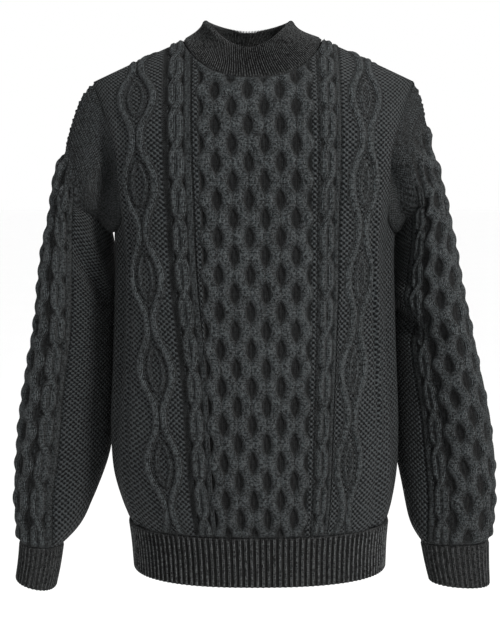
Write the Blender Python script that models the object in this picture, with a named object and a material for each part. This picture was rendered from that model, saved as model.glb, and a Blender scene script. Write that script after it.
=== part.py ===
"""Crewneck sweater in cable knit, filled out as it is worn, with no wearer inside.

The frame: metres, +Z up, the front faces -Y and +X is to the viewer's right. The origin is the
middle of the neck at the height of the shoulder seams' neck ends.
"""
import math

import bmesh
import bpy
import numpy as np

# Cloth and seams
WALL = 0.0030            # from the plain inside to the ground of the knit
SEAM_HALF_GAP = 0.0002   # each side of a side seam or shoulder seam
EDGE_GAP = 0.0006        # at the hem rib and cuffs
ARMHOLE_GAP = 0.0009
RIM_BEVEL = 0.0016       # the inside ends this much short of an armhole or neckline
SEAM_FADE = 0.009        # the relief fades out this near a seam

# Body: outer widths left and right of the middle, and depths before and behind the side seams
BODY_NAMES = ("z", "left", "right", "front", "back", "centre")
BODY_RINGS = [
    (-0.642, 0.1460, 0.1600, 0.1280, 0.1080, 0.0080),
    (-0.600, 0.1500, 0.1620, 0.1300, 0.1100, 0.0080),
    (-0.582, 0.1530, 0.1640, 0.1330, 0.1120, 0.0080),
    (-0.564, 0.1600, 0.1685, 0.1365, 0.1150, 0.0078),
    (-0.530, 0.1705, 0.1745, 0.1385, 0.1175, 0.0072),
    (-0.480, 0.1750, 0.1770, 0.1360, 0.1170, 0.0064),
    (-0.400, 0.1730, 0.1750, 0.1300, 0.1140, 0.0055),
    (-0.320, 0.1705, 0.1725, 0.1240, 0.1110, 0.0045),
    (-0.235, 0.1705, 0.1720, 0.1185, 0.1080, 0.0035),
    (-0.180, 0.1790, 0.1790, 0.1150, 0.1060, 0.0028),
    (-0.140, 0.1860, 0.1850, 0.1120, 0.1050, 0.0024),
    (-0.080, 0.1930, 0.1920, 0.1060, 0.1040, 0.0014),
    (-0.040, 0.1970, 0.1960, 0.1010, 0.1030, 0.0006),
    (+0.030, 0.2000, 0.2000, 0.0950, 0.1000, 0.0000),
]
BODY_SQUARE = 2.4        # 2 is an ellipse, more is squarer
RIB_TOP = -0.582
HEM_BOTTOM = -0.642
UNDERARM = -0.235

# Shoulder ridge: a soft roof, highest over the neck
RIDGE_PEAK = 0.0512
RIDGE_SLOPE = 0.50
RIDGE_ROUND = 0.060
SHOULDER_DEPTH = 0.105   # how far below the ridge the full depth is reached
SHOULDER_CURVE = 1.6      # a section through the shoulder: how it leaves the ridge and meets the front
SHOULDER_FULL = 0.75
SHOULDER_POINT = 0.196    # how far out the shoulder seam ends

# Half of one panel across, and its places from the pattern's middle line outwards
HALF = 0.247
HONEY_HALF = 0.0665
MOSS_INNER = 0.0750
DITCH_INNER = 0.0845
ROPE_MIDDLE = 0.0940
DITCH_OUTER = 0.1035
DIAMOND_IN = 0.1205
DIAMOND_MIDDLE = 0.1445
DIAMOND_OUT = 0.1685
ARMHOLE_IN = 0.1780
ARMHOLE_POINT = 0.2330   # at the shoulder point
ARMHOLE_NARROW = -0.140  # height where the armhole comes furthest in
ARMHOLE_CURVE = 1.7      # above that it leans out more and more
SIDE_LINES = (0.1865, 0.2010, 0.2220)

# Knit pattern
PERIOD = 0.0435          # height of one honeycomb repeat, and of one rope twist
ROWS_PER_PERIOD = 4
HOLE_ROW = 0.0445        # first row with a hole in the first, third and fifth columns
HONEY_ROPES = 7
ROPE_SWING = 0.0058
HONEY_RISE = 0.0036
HONEY_HOLE = -0.0016
CROSSING_SHARE = 0.55    # where two ropes touch, of a rope's own rise
ROPE_RISE = 0.0034
ROPE_TWIST = 0.0008      # a rope is this much lower between its crossings
DITCH_FALL = -0.0014
SHALLOW = 0.6            # share of a ditch's fall beside the diamonds
DIAMOND_PERIOD = 0.1088
DIAMOND_CROSSING = 0.030  # height of the first crossing above the hem rib
DIAMOND_REACH = 0.0205
DIAMOND_NARROW = 0.0048
DIAMOND_RISE = 0.0030
MOSS_RISE = 0.0006

# Neck opening, where the neckband starts
NECK_LEFT = 0.0866
NECK_RIGHT = 0.0830
NECK_DROP_FRONT = 0.0476
NECK_DROP_BACK = 0.0200
NECK_CURVE = 2.6
NECK_FULL = 0.77

# Ribs
HEM_RIBS = 70            # on each half of the hem
HEM_RIB_RISE = 0.0011
CUFF_RIBS = 34
CUFF_RIB_RISE = 0.0009
CUFF_PLACES = (0.0, 0.35, 1.1, 2.0)   # rings down the cuff, in rows of its table
CUFF_NEAR = 0.1
CUFF_PLAIN_STEP = 4
HEM_SET_IN = 0.0060       # the hem's ribs are full this far below the seam
HEM_PLAIN_STEP = 7
NECK_PLAIN_STEP = 4
NECK_RIBS = 86
NECK_RIB_RISE = 0.0009

# Sleeves: outward and height of a ring's outer and inner points, its front and back, and
# how far its inner side lies back beside the body
SLEEVE_NAMES = ("out_x", "out_z", "in_x", "in_z", "front", "back", "set_back")
SLEEVE_LEFT = [
    (0.1960, -0.0513, 0.1705, -0.2350, 0.064, 0.064, 0.000),
    (0.2105, -0.0700, 0.1735, -0.2270, 0.062, 0.061, 0.000),
    (0.2215, -0.1000, 0.1790, -0.2215, 0.060, 0.059, 0.008),
    (0.2300, -0.1320, 0.1850, -0.2290, 0.059, 0.058, 0.020),
    (0.2410, -0.1650, 0.1835, -0.2450, 0.058, 0.057, 0.033),
    (0.2465, -0.2100, 0.1765, -0.2680, 0.058, 0.056, 0.042),
    (0.2560, -0.2550, 0.1740, -0.2950, 0.058, 0.055, 0.046),
    (0.2615, -0.3000, 0.1715, -0.3250, 0.058, 0.054, 0.046),
    (0.2660, -0.3450, 0.1710, -0.3600, 0.058, 0.052, 0.048),
    (0.2755, -0.4000, 0.1715, -0.4050, 0.058, 0.050, 0.048),
    (0.2840, -0.4550, 0.1735, -0.4550, 0.057, 0.046, 0.046),
    (0.2890, -0.5100, 0.1800, -0.5080, 0.056, 0.042, 0.034),
    (0.2915, -0.5550, 0.1940, -0.5500, 0.055, 0.038, 0.018),
    (0.2895, -0.5900, 0.2120, -0.5900, 0.051, 0.033, 0.006),
    (0.2875, -0.6120, 0.2350, -0.6160, 0.045, 0.027, 0.000),
]
SLEEVE_RIGHT = [
    (0.1960, -0.0513, 0.1720, -0.2350, 0.064, 0.064, 0.000),
    (0.2045, -0.0700, 0.1750, -0.2270, 0.062, 0.061, 0.000),
    (0.2110, -0.1000, 0.1800, -0.2215, 0.060, 0.059, 0.008),
    (0.2185, -0.1320, 0.1855, -0.2290, 0.059, 0.058, 0.020),
    (0.2260, -0.1650, 0.1835, -0.2450, 0.058, 0.057, 0.033),
    (0.2350, -0.2100, 0.1770, -0.2680, 0.058, 0.056, 0.042),
    (0.2440, -0.2550, 0.1745, -0.2950, 0.058, 0.055, 0.046),
    (0.2520, -0.3000, 0.1720, -0.3250, 0.058, 0.054, 0.046),
    (0.2620, -0.3450, 0.1715, -0.3600, 0.058, 0.052, 0.048),
    (0.2735, -0.4000, 0.1720, -0.4050, 0.058, 0.050, 0.048),
    (0.2850, -0.4550, 0.1740, -0.4550, 0.057, 0.046, 0.046),
    (0.2920, -0.5100, 0.1775, -0.5080, 0.055, 0.042, 0.040),
    (0.2935, -0.5550, 0.1850, -0.5500, 0.052, 0.038, 0.024),
    (0.2915, -0.5900, 0.1930, -0.5900, 0.045, 0.033, 0.008),
    (0.2885, -0.6120, 0.2060, -0.6140, 0.036, 0.027, 0.000),
]
CUFF_LEFT = [
    (0.2875, -0.6120, 0.2350, -0.6160, 0.045, 0.027, 0.000),
    (0.2895, -0.6350, 0.2395, -0.6450, 0.044, 0.026, 0.000),
    (0.2928, -0.6590, 0.2450, -0.6710, 0.044, 0.025, 0.000),
]
CUFF_RIGHT = [
    (0.2885, -0.6120, 0.2060, -0.6140, 0.036, 0.027, 0.000),
    (0.2890, -0.6400, 0.2110, -0.6390, 0.035, 0.026, 0.000),
    (0.2900, -0.6680, 0.2170, -0.6640, 0.035, 0.025, 0.000),
]
PINCH = 0.58              # the underarm's front and back are drawn in by this share of their depth
PINCH_PLACE = 2.2         # at this place down the sleeve table
PINCH_REACH = 2.1         # over this many of its rows
PINCH_SHARE = 0.28        # and over this share of the ring, each way from the underarm
ARMHOLE_BLEND = 5         # rings over which the armhole's shape passes into the tube
SLEEVE_ROWS_PER_PERIOD = 2
SLEEVE_CAP_ROWS = 8       # rows from the armhole that the plain inside follows one by one
SLEEVE_TURN_LEFT = -20    # degrees the middle cables turn from the outside to the front
SLEEVE_TURN_RIGHT = -38
SLEEVE_HONEY_HALF = 0.0380
SLEEVE_HONEY_ROPES = 4
SLEEVE_ROPE = 0.0480      # a rope on each side of the honeycomb
SLEEVE_DITCH = 0.0560
SLEEVE_SWING = 0.9        # of the body's honeycomb swing
SLEEVE_ROPE_SHARE = 0.8   # of the body's rope rise
SLEEVE_BLEND = 3          # pattern repeats over which the columns spread from the armhole's points
SLEEVE_PLAIN_STEP = 3

# Neckband: a ring's middle and half widths, heights before, beside and behind
NECK_NAMES = ("x", "left", "right", "front", "back", "z_front", "z_side", "z_back")
NECK_TOP = (-0.0070, 0.0540, 0.0540, 0.0700, 0.0560, -0.0150, +0.0200, +0.0100)
NECK_WALL = 0.0048
NECK_GAP = 0.0013
NECK_PLACES = (0.0, 0.45, 1.0)   # rings from the neckline to the fold
NECK_UPRIGHT = 1.2        # how much the top edge turns upright
NECK_FOLD = 0.0020        # height of the fold over its last ring, how far in it is, and its ribs
NECK_FOLD_IN = 0.35
NECK_FOLD_WAVE = 0.5

TUBE_SQUARE = 2.2
DIAMOND_COLUMNS = (5, 6, 7, 8, 9)   # a diamond's lines, counted from the honeycomb's edge
# of a panel, where its plain inside has points
PLAIN_COLUMNS = (0, 1, 2, 3, 4, 5, 6, 9, 12, 14, 16, 18, 20)
PLAIN_SPREAD = 3.0        # troughs are this much wider on the inside
PLAIN_STEP = 4            # rows between those points
COARSE_STEP = 2           # rows between the outside's points off the honeycomb and diamonds

# Folds: which piece, then the place and size of a soft trough (negative) or ridge
FOLD_NAMES = ("piece", "u", "v", "turn", "long", "wide", "rise")
FOLDS = [
    ("front", -0.176, 0.170, 92, 0.170, 0.011, -0.0050),
    ("front", +0.168, 0.170, 88, 0.190, 0.011, -0.0045),
    ("front", -0.150, 0.060, 80, 0.060, 0.012, -0.0035),
    ("front", +0.150, 0.050, 98, 0.055, 0.012, -0.0035),
    ("front", -0.120, 0.405, 35, 0.060, 0.013, +0.0025),
    ("front", +0.130, 0.395, 145, 0.060, 0.013, +0.0025),
    ("back", -0.165, 0.180, 90, 0.160, 0.012, -0.0045),
    ("back", +0.160, 0.160, 93, 0.170, 0.012, -0.0045),
    ("back", -0.080, 0.440, 20, 0.070, 0.014, -0.0030),
    ("back", +0.085, 0.445, 160, 0.070, 0.014, -0.0030),
    ("sleeve_left", +0.105, 0.470, 90, 0.070, 0.020, -0.0080),
    ("sleeve_right", +0.105, 0.470, 90, 0.070, 0.020, -0.0080),
    ("sleeve_left", -0.060, 0.430, 120, 0.060, 0.011, -0.0050),
    ("sleeve_left", -0.075, 0.285, 60, 0.050, 0.011, -0.0040),
    ("sleeve_left", -0.060, 0.060, 15, 0.050, 0.010, -0.0040),
    ("sleeve_right", -0.075, 0.350, 50, 0.055, 0.011, -0.0055),
    ("sleeve_right", -0.060, 0.250, 35, 0.045, 0.011, -0.0035),
    ("sleeve_right", -0.070, 0.055, 165, 0.050, 0.010, -0.0040),
]

# The smooth ground surfaces that the walls are laid on
SMOOTH_STEP = 0.0025
GROUND_COLUMNS = 198
LEVEL_STEP = 0.0030       # between heights where the body is read
CAP_START = -0.080        # closer over the shoulders
CAP_END = 0.0221
CAP_LEVEL_STEP = 0.0007
CURVE_POINTS = 361        # round half of a body ring, and round a tube
EDGE_STEP = 0.0004        # along a column where its end is looked for
ARM_STEP = 0.0010
ARM_CLEAR = 0.0003
PANEL_ROWS = 80
NEAR_RIDGE = 0.0040       # a column that ends this near the middle plane ends on the ridge
SLEEVE_GROUND_SHARES = 121
SLEEVE_GROUND_RINGS = 141
SLEEVE_WIDE_RING = 111    # the ring that the sleeve's columns are spaced on
YARN = {"colour": (0.032, 0.036, 0.037, 1.0), "roughness": 0.92}
RIB_YARN = {"colour": (0.029, 0.031, 0.032, 1.0), "roughness": 0.92}


def column(table, names, name):
    """Return one named column of a table."""
    place = names.index(name)
    return np.array([row[place] for row in table])


def smooth(xs, ys, at):
    """Read a table's column between its rows on a smooth curve."""
    slopes = np.gradient(ys, xs)
    spot = np.clip(np.searchsorted(xs, at) - 1, 0, len(xs) - 2)
    width = xs[spot + 1] - xs[spot]
    t = np.clip((at - xs[spot]) / width, 0.0, 1.0)
    start = (2 * t**3 - 3 * t**2 + 1) * ys[spot] + (t**3 - 2 * t**2 + t) * width * slopes[spot]
    end = (3 * t**2 - 2 * t**3) * ys[spot + 1] + (t**3 - t**2) * width * slopes[spot + 1]
    return start + end


def ease(t):
    """Rise softly from 0 to 1."""
    t = np.clip(t, 0.0, 1.0)
    return t * t * (3 - 2 * t)


def unit(vectors):
    """Scale vectors to length 1."""
    length = np.linalg.norm(vectors, axis=-1, keepdims=True)
    return vectors / np.maximum(length, 1e-9)


def body_size(name, z):
    """Return one of the body's named sizes at a height."""
    return smooth(column(BODY_RINGS, BODY_NAMES, "z"), column(BODY_RINGS, BODY_NAMES, name), z)


def ridge_height(x):
    """Return the height of the shoulder ridge."""
    return RIDGE_PEAK - RIDGE_SLOPE * np.sqrt(x * x + RIDGE_ROUND**2)


def neck_height(x, facing):
    """Return the height of the neckline: the front's or the back's."""
    drop = NECK_DROP_FRONT if facing < 0 else NECK_DROP_BACK
    half = np.where(x < 0, NECK_LEFT, NECK_RIGHT)
    part = np.clip(np.abs(x) / half, 0.0, 1.0)
    return -drop * (1 - part**NECK_CURVE)**NECK_FULL


def underarm_height(u):
    """Return the height of the armhole's lower curve, between its narrowest place and the side seam."""
    part = np.clip((np.abs(u) - ARMHOLE_IN) / (HALF - ARMHOLE_IN), 0.0, 1.0)
    return ARMHOLE_NARROW + (UNDERARM - ARMHOLE_NARROW) * np.sqrt(1 - (1 - part)**2)


def armhole_wale(z):
    """Return how far from the middle the armhole's edge is above its narrowest place."""
    top = ridge_height(np.array(SHOULDER_POINT))
    part = np.clip((z - ARMHOLE_NARROW) / (top - ARMHOLE_NARROW), 0.0, 1.0)
    return ARMHOLE_IN + (ARMHOLE_POINT - ARMHOLE_IN) * part**ARMHOLE_CURVE


def folds(piece, u, v, spread=0.0):
    """Sum the soft troughs and ridges of one piece. A spread widens the troughs alone."""
    total = np.zeros(np.broadcast(u, v).shape)
    for name, mid_u, mid_v, turn, long, wide, rise in FOLDS:
        if name != piece:
            continue
        if spread and rise > 0:
            continue
        wide = wide * max(spread, 1.0)
        angle = math.radians(turn)
        along = (u - mid_u) * math.cos(angle) + (v - mid_v) * math.sin(angle)
        across = (v - mid_v) * math.cos(angle) - (u - mid_u) * math.sin(angle)
        total = total + rise * np.exp(-(along / long)**2 - (across / wide)**2)
    return total


class Ground:
    """A smooth surface under the knit, read by distance across (u) and distance up (v)."""

    def __init__(self, us, vs, points, piece):
        self.us = us
        self.vs = vs
        self.points = points
        self.piece = piece
        along_u = np.gradient(points, axis=0)
        along_v = np.gradient(points, axis=1)
        self.normals = unit(np.cross(along_u, along_v))

    def read(self, grid, u, v):
        a = np.clip((u - self.us[0]) / (self.us[1] - self.us[0]), 0, len(self.us) - 1.001)
        b = np.clip((v - self.vs[0]) / (self.vs[1] - self.vs[0]), 0, len(self.vs) - 1.001)
        i = a.astype(int)
        j = b.astype(int)
        a = (a - i)[..., None]
        b = (b - j)[..., None]
        low = grid[i, j] * (1 - a) + grid[i + 1, j] * a
        high = grid[i, j + 1] * (1 - a) + grid[i + 1, j + 1] * a
        return low * (1 - b) + high * b

    def place(self, u, v):
        """Return points and outward directions."""
        u, v = np.broadcast_arrays(np.asarray(u, float), np.asarray(v, float))
        points = self.read(self.points, u, v)
        normals = unit(self.read(self.normals, u, v))
        return points + folds(self.piece, u, v)[..., None] * normals, normals

    def trough(self, u, v):
        """Return how much lower the plain inside is, so that it clears the troughs' sides."""
        return float(folds(self.piece, u, v, PLAIN_SPREAD) - folds(self.piece, u, v))


def body_row(z, facing):
    """Return dense points of the body's front or back half at one height, left to right."""
    theta = np.radians(np.linspace(-90, 90, CURVE_POINTS))
    half = np.where(theta < 0, body_size("left", z), body_size("right", z))
    x = half * np.sign(theta) * np.abs(np.sin(theta))**(2 / BODY_SQUARE)
    depth = body_size("front" if facing < 0 else "back", z) * np.cos(theta)**(2 / BODY_SQUARE)
    return x, np.maximum(depth, 0.0)


def shoulder_share(x, z):
    """Return the share of the full depth that is reached below the shoulder ridge."""
    t = np.clip((ridge_height(x) - z) / SHOULDER_DEPTH, 0.0, 1.0)
    return (1 - (1 - t)**SHOULDER_CURVE)**SHOULDER_FULL


def panel_ground(facing, piece):
    """Work out the front's (facing -1) or back's (facing 1) smooth surface above the hem rib."""
    us = np.linspace(-HALF, HALF, GROUND_COLUMNS)
    low_levels = np.arange(RIB_TOP, CAP_START, LEVEL_STEP)
    levels = np.concatenate([low_levels, np.arange(CAP_START, CAP_END, CAP_LEVEL_STEP)])
    rows = []
    for z in levels:
        x, full = body_row(z, facing)
        arc = np.concatenate([[0], np.cumsum(np.hypot(np.diff(x), np.diff(full)))])
        mid = np.interp(body_size("centre", z), x, arc)
        reach = np.where(us < 0, mid, arc[-1] - mid) / HALF
        across = np.interp(mid + us * reach, arc, x)
        depth = np.interp(mid + us * reach, arc, full) * shoulder_share(across, z)
        rows.append(np.stack([across, facing * depth, np.full_like(us, z)], axis=-1))
    rows = np.array(rows)
    rise = np.linalg.norm(np.diff(rows, axis=0), axis=-1)
    climb = np.concatenate([np.zeros((1, len(us))), np.cumsum(rise, axis=0)])
    vs = np.arange(0, climb.max() + SMOOTH_STEP, SMOOTH_STEP)
    points = np.empty((len(us), len(vs), 3))
    for i in range(len(us)):
        for axis in range(3):
            points[i, :, axis] = np.interp(vs, climb[:, i], rows[:, i, axis])
    if facing > 0:
        points = points[::-1]
    return Ground(us, vs, points, piece)


def panel_top(ground, facing, v_rows, line, under_arm):
    """Return the course distance at which a column line ends: ridge, neckline or armhole."""
    vs = np.arange(0.0, ground.vs[-1], EDGE_STEP)
    u = np.interp(vs, v_rows, line)
    points = ground.read(ground.points, u, vs)
    x = points[:, 0]
    z = points[:, 2]
    beside = (x <= -NECK_LEFT) | (x >= NECK_RIGHT)
    limit = np.where(beside, ridge_height(x), neck_height(x, facing))
    if under_arm:
        limit = underarm_height(u)
    return vs[np.nonzero(z >= limit)[0][0]]


def armhole_edge(ground):
    """Return the armhole's upper edge: distances up the panel, and how far out it is there."""
    vs = np.arange(0.0, ground.vs[-1], ARM_STEP)
    u = np.full_like(vs, ARMHOLE_IN)
    for _ in range(4):
        u = armhole_wale(ground.read(ground.points, u, vs)[:, 2])
    return vs, u


def triangle_wave(t):
    """Go from 0 to 1 and back once for each unit of t, with rounded turns."""
    return 0.5 - 0.5 * np.cos(2 * math.pi * t) * (1.12 - 0.12 * np.cos(2 * math.pi * t)**2)


def diamond_reach(v):
    """Return how far a diamond's outline is from the panel's middle."""
    wave = triangle_wave((v - DIAMOND_CROSSING) / DIAMOND_PERIOD)
    return DIAMOND_NARROW + (DIAMOND_REACH - DIAMOND_NARROW) * wave


def honey_swing(v, rope):
    """Return how far a honeycomb rope has swung at a height."""
    turn = 2 * math.pi * (v - HOLE_ROW) / PERIOD
    return ROPE_SWING * (1 if rope % 2 == 0 else -1) * np.cos(turn)


def honey_lines(v, ropes, half):
    """Return the honeycomb's column lines with their rises: valley, rope, valley, ..."""
    pitch = 2 * half / ropes
    lines = []
    for k in range(ropes):
        valley = np.full_like(v, -half + k * pitch)
        rise = np.full_like(v, DITCH_FALL)
        if k > 0:
            near = -np.cos(2 * math.pi * (v - HOLE_ROW) / PERIOD) * (1 if k % 2 else -1)
            rise = HONEY_HOLE + (HONEY_RISE * CROSSING_SHARE - HONEY_HOLE) * ease(0.5 + 0.5 * near)
        lines.append((valley, rise))
        ridge = -half + (k + 0.5) * pitch - honey_swing(v, k)
        lines.append((ridge, np.full_like(v, HONEY_RISE)))
    lines.append((np.full_like(v, half), np.full_like(v, DITCH_FALL)))
    return lines


def side_lines(v, edge):
    """Return the column lines beside the honeycomb on one side, going outwards."""
    reach = diamond_reach(v)
    twist = np.cos(2 * math.pi * v / PERIOD)
    closed = ease((DIAMOND_REACH - reach) / (DIAMOND_REACH - DIAMOND_NARROW) * 2 - 1)
    flat = np.ones_like(v)
    return [
        (flat * MOSS_INNER, flat * MOSS_RISE),
        (flat * DITCH_INNER, flat * DITCH_FALL),
        (flat * ROPE_MIDDLE, ROPE_RISE - ROPE_TWIST * twist),
        (flat * DITCH_OUTER, flat * DITCH_FALL),
        (flat * DIAMOND_IN, flat * DITCH_FALL * SHALLOW),
        (DIAMOND_MIDDLE - reach, flat * DIAMOND_RISE),
        (flat * DIAMOND_MIDDLE, MOSS_RISE + (DIAMOND_RISE - MOSS_RISE) * closed),
        (DIAMOND_MIDDLE + reach, flat * DIAMOND_RISE),
        (flat * DIAMOND_OUT + (edge - ARMHOLE_IN) * 0.5, flat * DITCH_FALL * SHALLOW),
        (edge, flat * MOSS_RISE),
        *[(flat * place, flat * MOSS_RISE) for place in SIDE_LINES],
        (flat * HALF, flat * 0.0),
    ]


def shell(name, outer, inner, faces, plain_faces):
    """Make a closed wall: fine outer faces, fewer inner faces on some of the same places, a rim."""
    mesh = bmesh.new()
    made = {}

    def corner(key, layer):
        if (key, layer) not in made:
            made[key, layer] = mesh.verts.new(outer[key] if layer == "out" else inner[key])
        return made[key, layer]

    def add(corners):
        different = [c for i, c in enumerate(corners) if c is not corners[i - 1]]
        if len(set(different)) >= 3:
            mesh.faces.new(different)

    def loops(listed):
        nexts = {}
        edges = {(f[i - 1], f[i]) for f in listed for i in range(len(f))}
        for a, b in edges:
            if (b, a) not in edges:
                nexts[a] = b
        found = []
        while nexts:
            start, loop = next(iter(nexts)), []
            here = start
            while here in nexts:
                loop.append(here)
                here = nexts.pop(here)
            found.append(loop)
        return found

    for face in faces:
        add([corner(key, "out") for key in face])
    for face in plain_faces:
        add([corner(key, "in") for key in reversed(face)])
    fine_loops = loops(faces)
    for coarse in loops(plain_faces):
        fine = next(loop for loop in fine_loops if coarse[0] in loop)
        start = fine.index(coarse[0])
        fine = fine[start:] + fine[:start]
        stops = [fine.index(key) for key in coarse] + [len(fine)]
        for n, key in enumerate(coarse):
            path = (fine + fine[:1])[stops[n]:stops[n + 1] + 1]
            after = coarse[(n + 1) % len(coarse)]
            turn = (len(path) - 1) // 2
            for step in range(len(path) - 1):
                if step == turn:
                    add([corner(path[step + 1], "out"), corner(path[step], "out"), corner(key, "in"),
                         corner(after, "in")])
                else:
                    anchor = key if step < turn else after
                    add([corner(path[step + 1], "out"), corner(path[step], "out"), corner(anchor, "in")])
    bmesh.ops.triangulate(mesh, faces=mesh.faces[:])
    if mesh.calc_volume(signed=True) < 0:
        bmesh.ops.reverse_faces(mesh, faces=mesh.faces[:])
    data = bpy.data.meshes.new(name)
    mesh.to_mesh(data)
    mesh.free()
    made_object = bpy.data.objects.new(name, data)
    bpy.context.scene.collection.objects.link(made_object)
    return made_object


def grid_faces(columns, rows, tops, strips=None, closed=False):
    """List a grid's faces as rings of (column, row) keys.

    rows holds one list for all columns, or a list for each. Columns end at their tops, and a strip
    may end lower. Where one side has more rows, its faces take them in.
    """
    pairs = list(zip(columns, columns[1:]))
    if closed:
        pairs.append((columns[-1], columns[0]))
    faces = []
    for a, b in pairs:
        ends = [min(tops[c], (strips or {}).get((a, b), tops[c])) for c in (a, b)]
        used = []
        for c, end in zip((a, b), ends):
            listed = rows[c] if isinstance(rows, dict) else rows
            used.append([row for row in listed if row < end] + [end])
        shared = sorted(set(used[0]) & set(used[1]) & set(range(min(ends))))
        shared.append(min(ends))
        for low, high in zip(shared, shared[1:]):
            climb = [(a, row) for row in used[0] if low <= row <= high]
            fall = [(b, row) for row in used[1] if low <= row <= high]
            if high == min(ends):
                climb = [key for key in climb if key[1] < high] + [(a, high if high in used[0] else None)]
                fall = [key for key in fall if key[1] < high] + [(b, high if high in used[1] else None)]
            ring = fall + climb[::-1]
            faces.append([key for key in ring if key[1] is not None])
        short, tall = (0, 1) if ends[0] < ends[1] else (1, 0)
        corner = ((a, b)[short], ends[short])
        above = [row for row in used[tall] if row > ends[short]]
        below = max(row for row in used[tall] if row <= ends[short])
        for low, high in zip([below] + above, above):
            keys = [((a, b)[tall], low), corner, ((a, b)[tall], high)]
            faces.append(keys if tall == 0 else keys[::-1])
    return faces


def fine_columns(count):
    """Return the panel's columns that have a point in every row: honeycomb and diamonds."""
    middle = (count - 1) // 2
    honey = set(range(middle - HONEY_ROPES, middle + HONEY_ROPES + 1))
    diamond = {middle + HONEY_ROPES + n for n in DIAMOND_COLUMNS}
    return honey | diamond | {count - 1 - col for col in diamond}


def make_panel(piece, facing):
    """Build the front or back. Return its object and the edges that other pieces are sewn to."""
    ground = panel_ground(facing, piece)
    pitch = PERIOD / ROWS_PER_PERIOD
    v_rows = np.arange(0, PANEL_ROWS) * pitch
    arm_v, arm_u = armhole_edge(ground)
    side = side_lines(v_rows, np.interp(v_rows, arm_v, arm_u))
    lines = [(-u, rise) for u, rise in reversed(side)]
    lines += honey_lines(v_rows, HONEY_ROPES, HONEY_HALF)
    lines += side
    count = len(lines)
    edges = (len(SIDE_LINES) + 1, count - len(SIDE_LINES) - 2)
    top_v = [panel_top(ground, facing, v_rows, u, not edges[0] <= i <= edges[1])
             for i, (u, _) in enumerate(lines)]
    tops = [max(int(round(v / pitch)), 1) for v in top_v]
    beside_arm = np.full(PANEL_ROWS, ARMHOLE_IN + ARM_CLEAR)
    narrow = int(round(panel_top(ground, facing, v_rows, beside_arm, True) / pitch))
    strips = {(edges[0] - 1, edges[0]): narrow, (edges[1], edges[1] + 1): narrow}
    fine = list(range(PANEL_ROWS))
    coarse = sorted(set(range(0, PANEL_ROWS, COARSE_STEP)) | {narrow})
    rows = {col: fine if col in fine_columns(count) else coarse for col in range(count)}
    faces = grid_faces(list(range(count)), rows, tops, strips)
    plain_columns = sorted({i for i in PLAIN_COLUMNS} | {count - 1 - i for i in PLAIN_COLUMNS})
    plain_rows = {col: sorted(set(range(0, PANEL_ROWS, PLAIN_STEP)) | {narrow}) for col in range(count)}
    for edge in edges:
        plain_rows[edge] = sorted(set(plain_rows[edge]) | {row for row in coarse if row > narrow})
    plain_faces = grid_faces(plain_columns, plain_rows, tops, strips)
    outer = {}
    inner = {}
    for col, row in {key for face in faces for key in face}:
        at_top = row == tops[col]
        v = top_v[col] if at_top else v_rows[row]
        u = float(np.interp(v, v_rows, lines[col][0]))
        rise = float(np.interp(v, v_rows, lines[col][1]))
        point, normal = ground.place(u, v)
        in_u = u - math.copysign(RIM_BEVEL, u) if col in edges and row >= narrow else u
        in_v = v - RIM_BEVEL if at_top else v
        plain_point = ground.place(in_u, in_v)[0] + normal * ground.trough(in_u, in_v)
        on_side = col in (0, count - 1)
        on_ridge = at_top and not on_side and abs(point[1]) < NEAR_RIDGE
        if on_ridge:
            point[2] = ridge_height(point[0])
            normal = np.array([RIDGE_SLOPE * point[0] / math.hypot(point[0], RIDGE_ROUND), 0.0, 1.0])
        if on_side or on_ridge:
            normal[1] = 0.0
            normal = unit(normal)
            point[1] = facing * SEAM_HALF_GAP
            plain_point = point
        held = at_top or on_side or row == 0 or col in edges
        fade = 0.0 if held else float(ease((top_v[col] - v) / SEAM_FADE))
        outer[col, row] = point + normal * rise * fade
        inner[col, row] = plain_point - normal * WALL
    made = shell(piece, outer, inner, faces, plain_faces)
    open_columns = [c for c in range(edges[0] + 1, edges[1]) if abs(outer[c, tops[c]][1]) > NEAR_RIDGE]
    neck = [(outer[c, tops[c]], inner[c, tops[c]]) for c in range(open_columns[0] - 1, open_columns[-1] + 2)]
    arms = {}
    for edge, out, step in ((edges[0], 0, -1), (edges[1], count - 1, 1)):
        upper = [tops[edge]] + [row for row in reversed(coarse) if narrow <= row < tops[edge]]
        keys = [(edge, row) for row in upper]
        keys += [(col, tops[col]) for col in range(edge + step, out + step, step)]
        inward = [(edge - step, row) for row in upper]
        inward += [(col, tops[col] - 1) for col in range(edge + step, out + step, step)]
        inward = [max(key for key in outer if key[0] == col and key[1] <= row) for col, row in inward]
        arms[step * -facing] = [(outer[k], inner[k], outer[n]) for k, n in zip(keys, inward)]
    return made, ground, neck, arms


def armhole_curve(front_arm, back_arm):
    """Join the panels' armhole edges into one ring: shoulder point, front, underarm, back."""
    ring = []
    listed = front_arm + back_arm[-2:0:-1]
    for n, (outer, inner, inward) in enumerate(listed):
        ahead = listed[(n + 1) % len(listed)][0]
        behind = listed[n - 1][0]
        normal = unit(outer - inner)
        away = unit(np.cross(normal, ahead - behind))
        if np.dot(away, outer - inward) < 0:
            away = -away
        point = np.array(outer)
        if n in (0, len(front_arm) - 1):
            point[1] = 0.0
            normal[1] = 0.0
            away[1] = 0.0
            normal = unit(normal)
            away = unit(away)
        ring.append((point + away * ARMHOLE_GAP, normal, away))
    return [np.array(part) for part in zip(*ring)]


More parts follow.
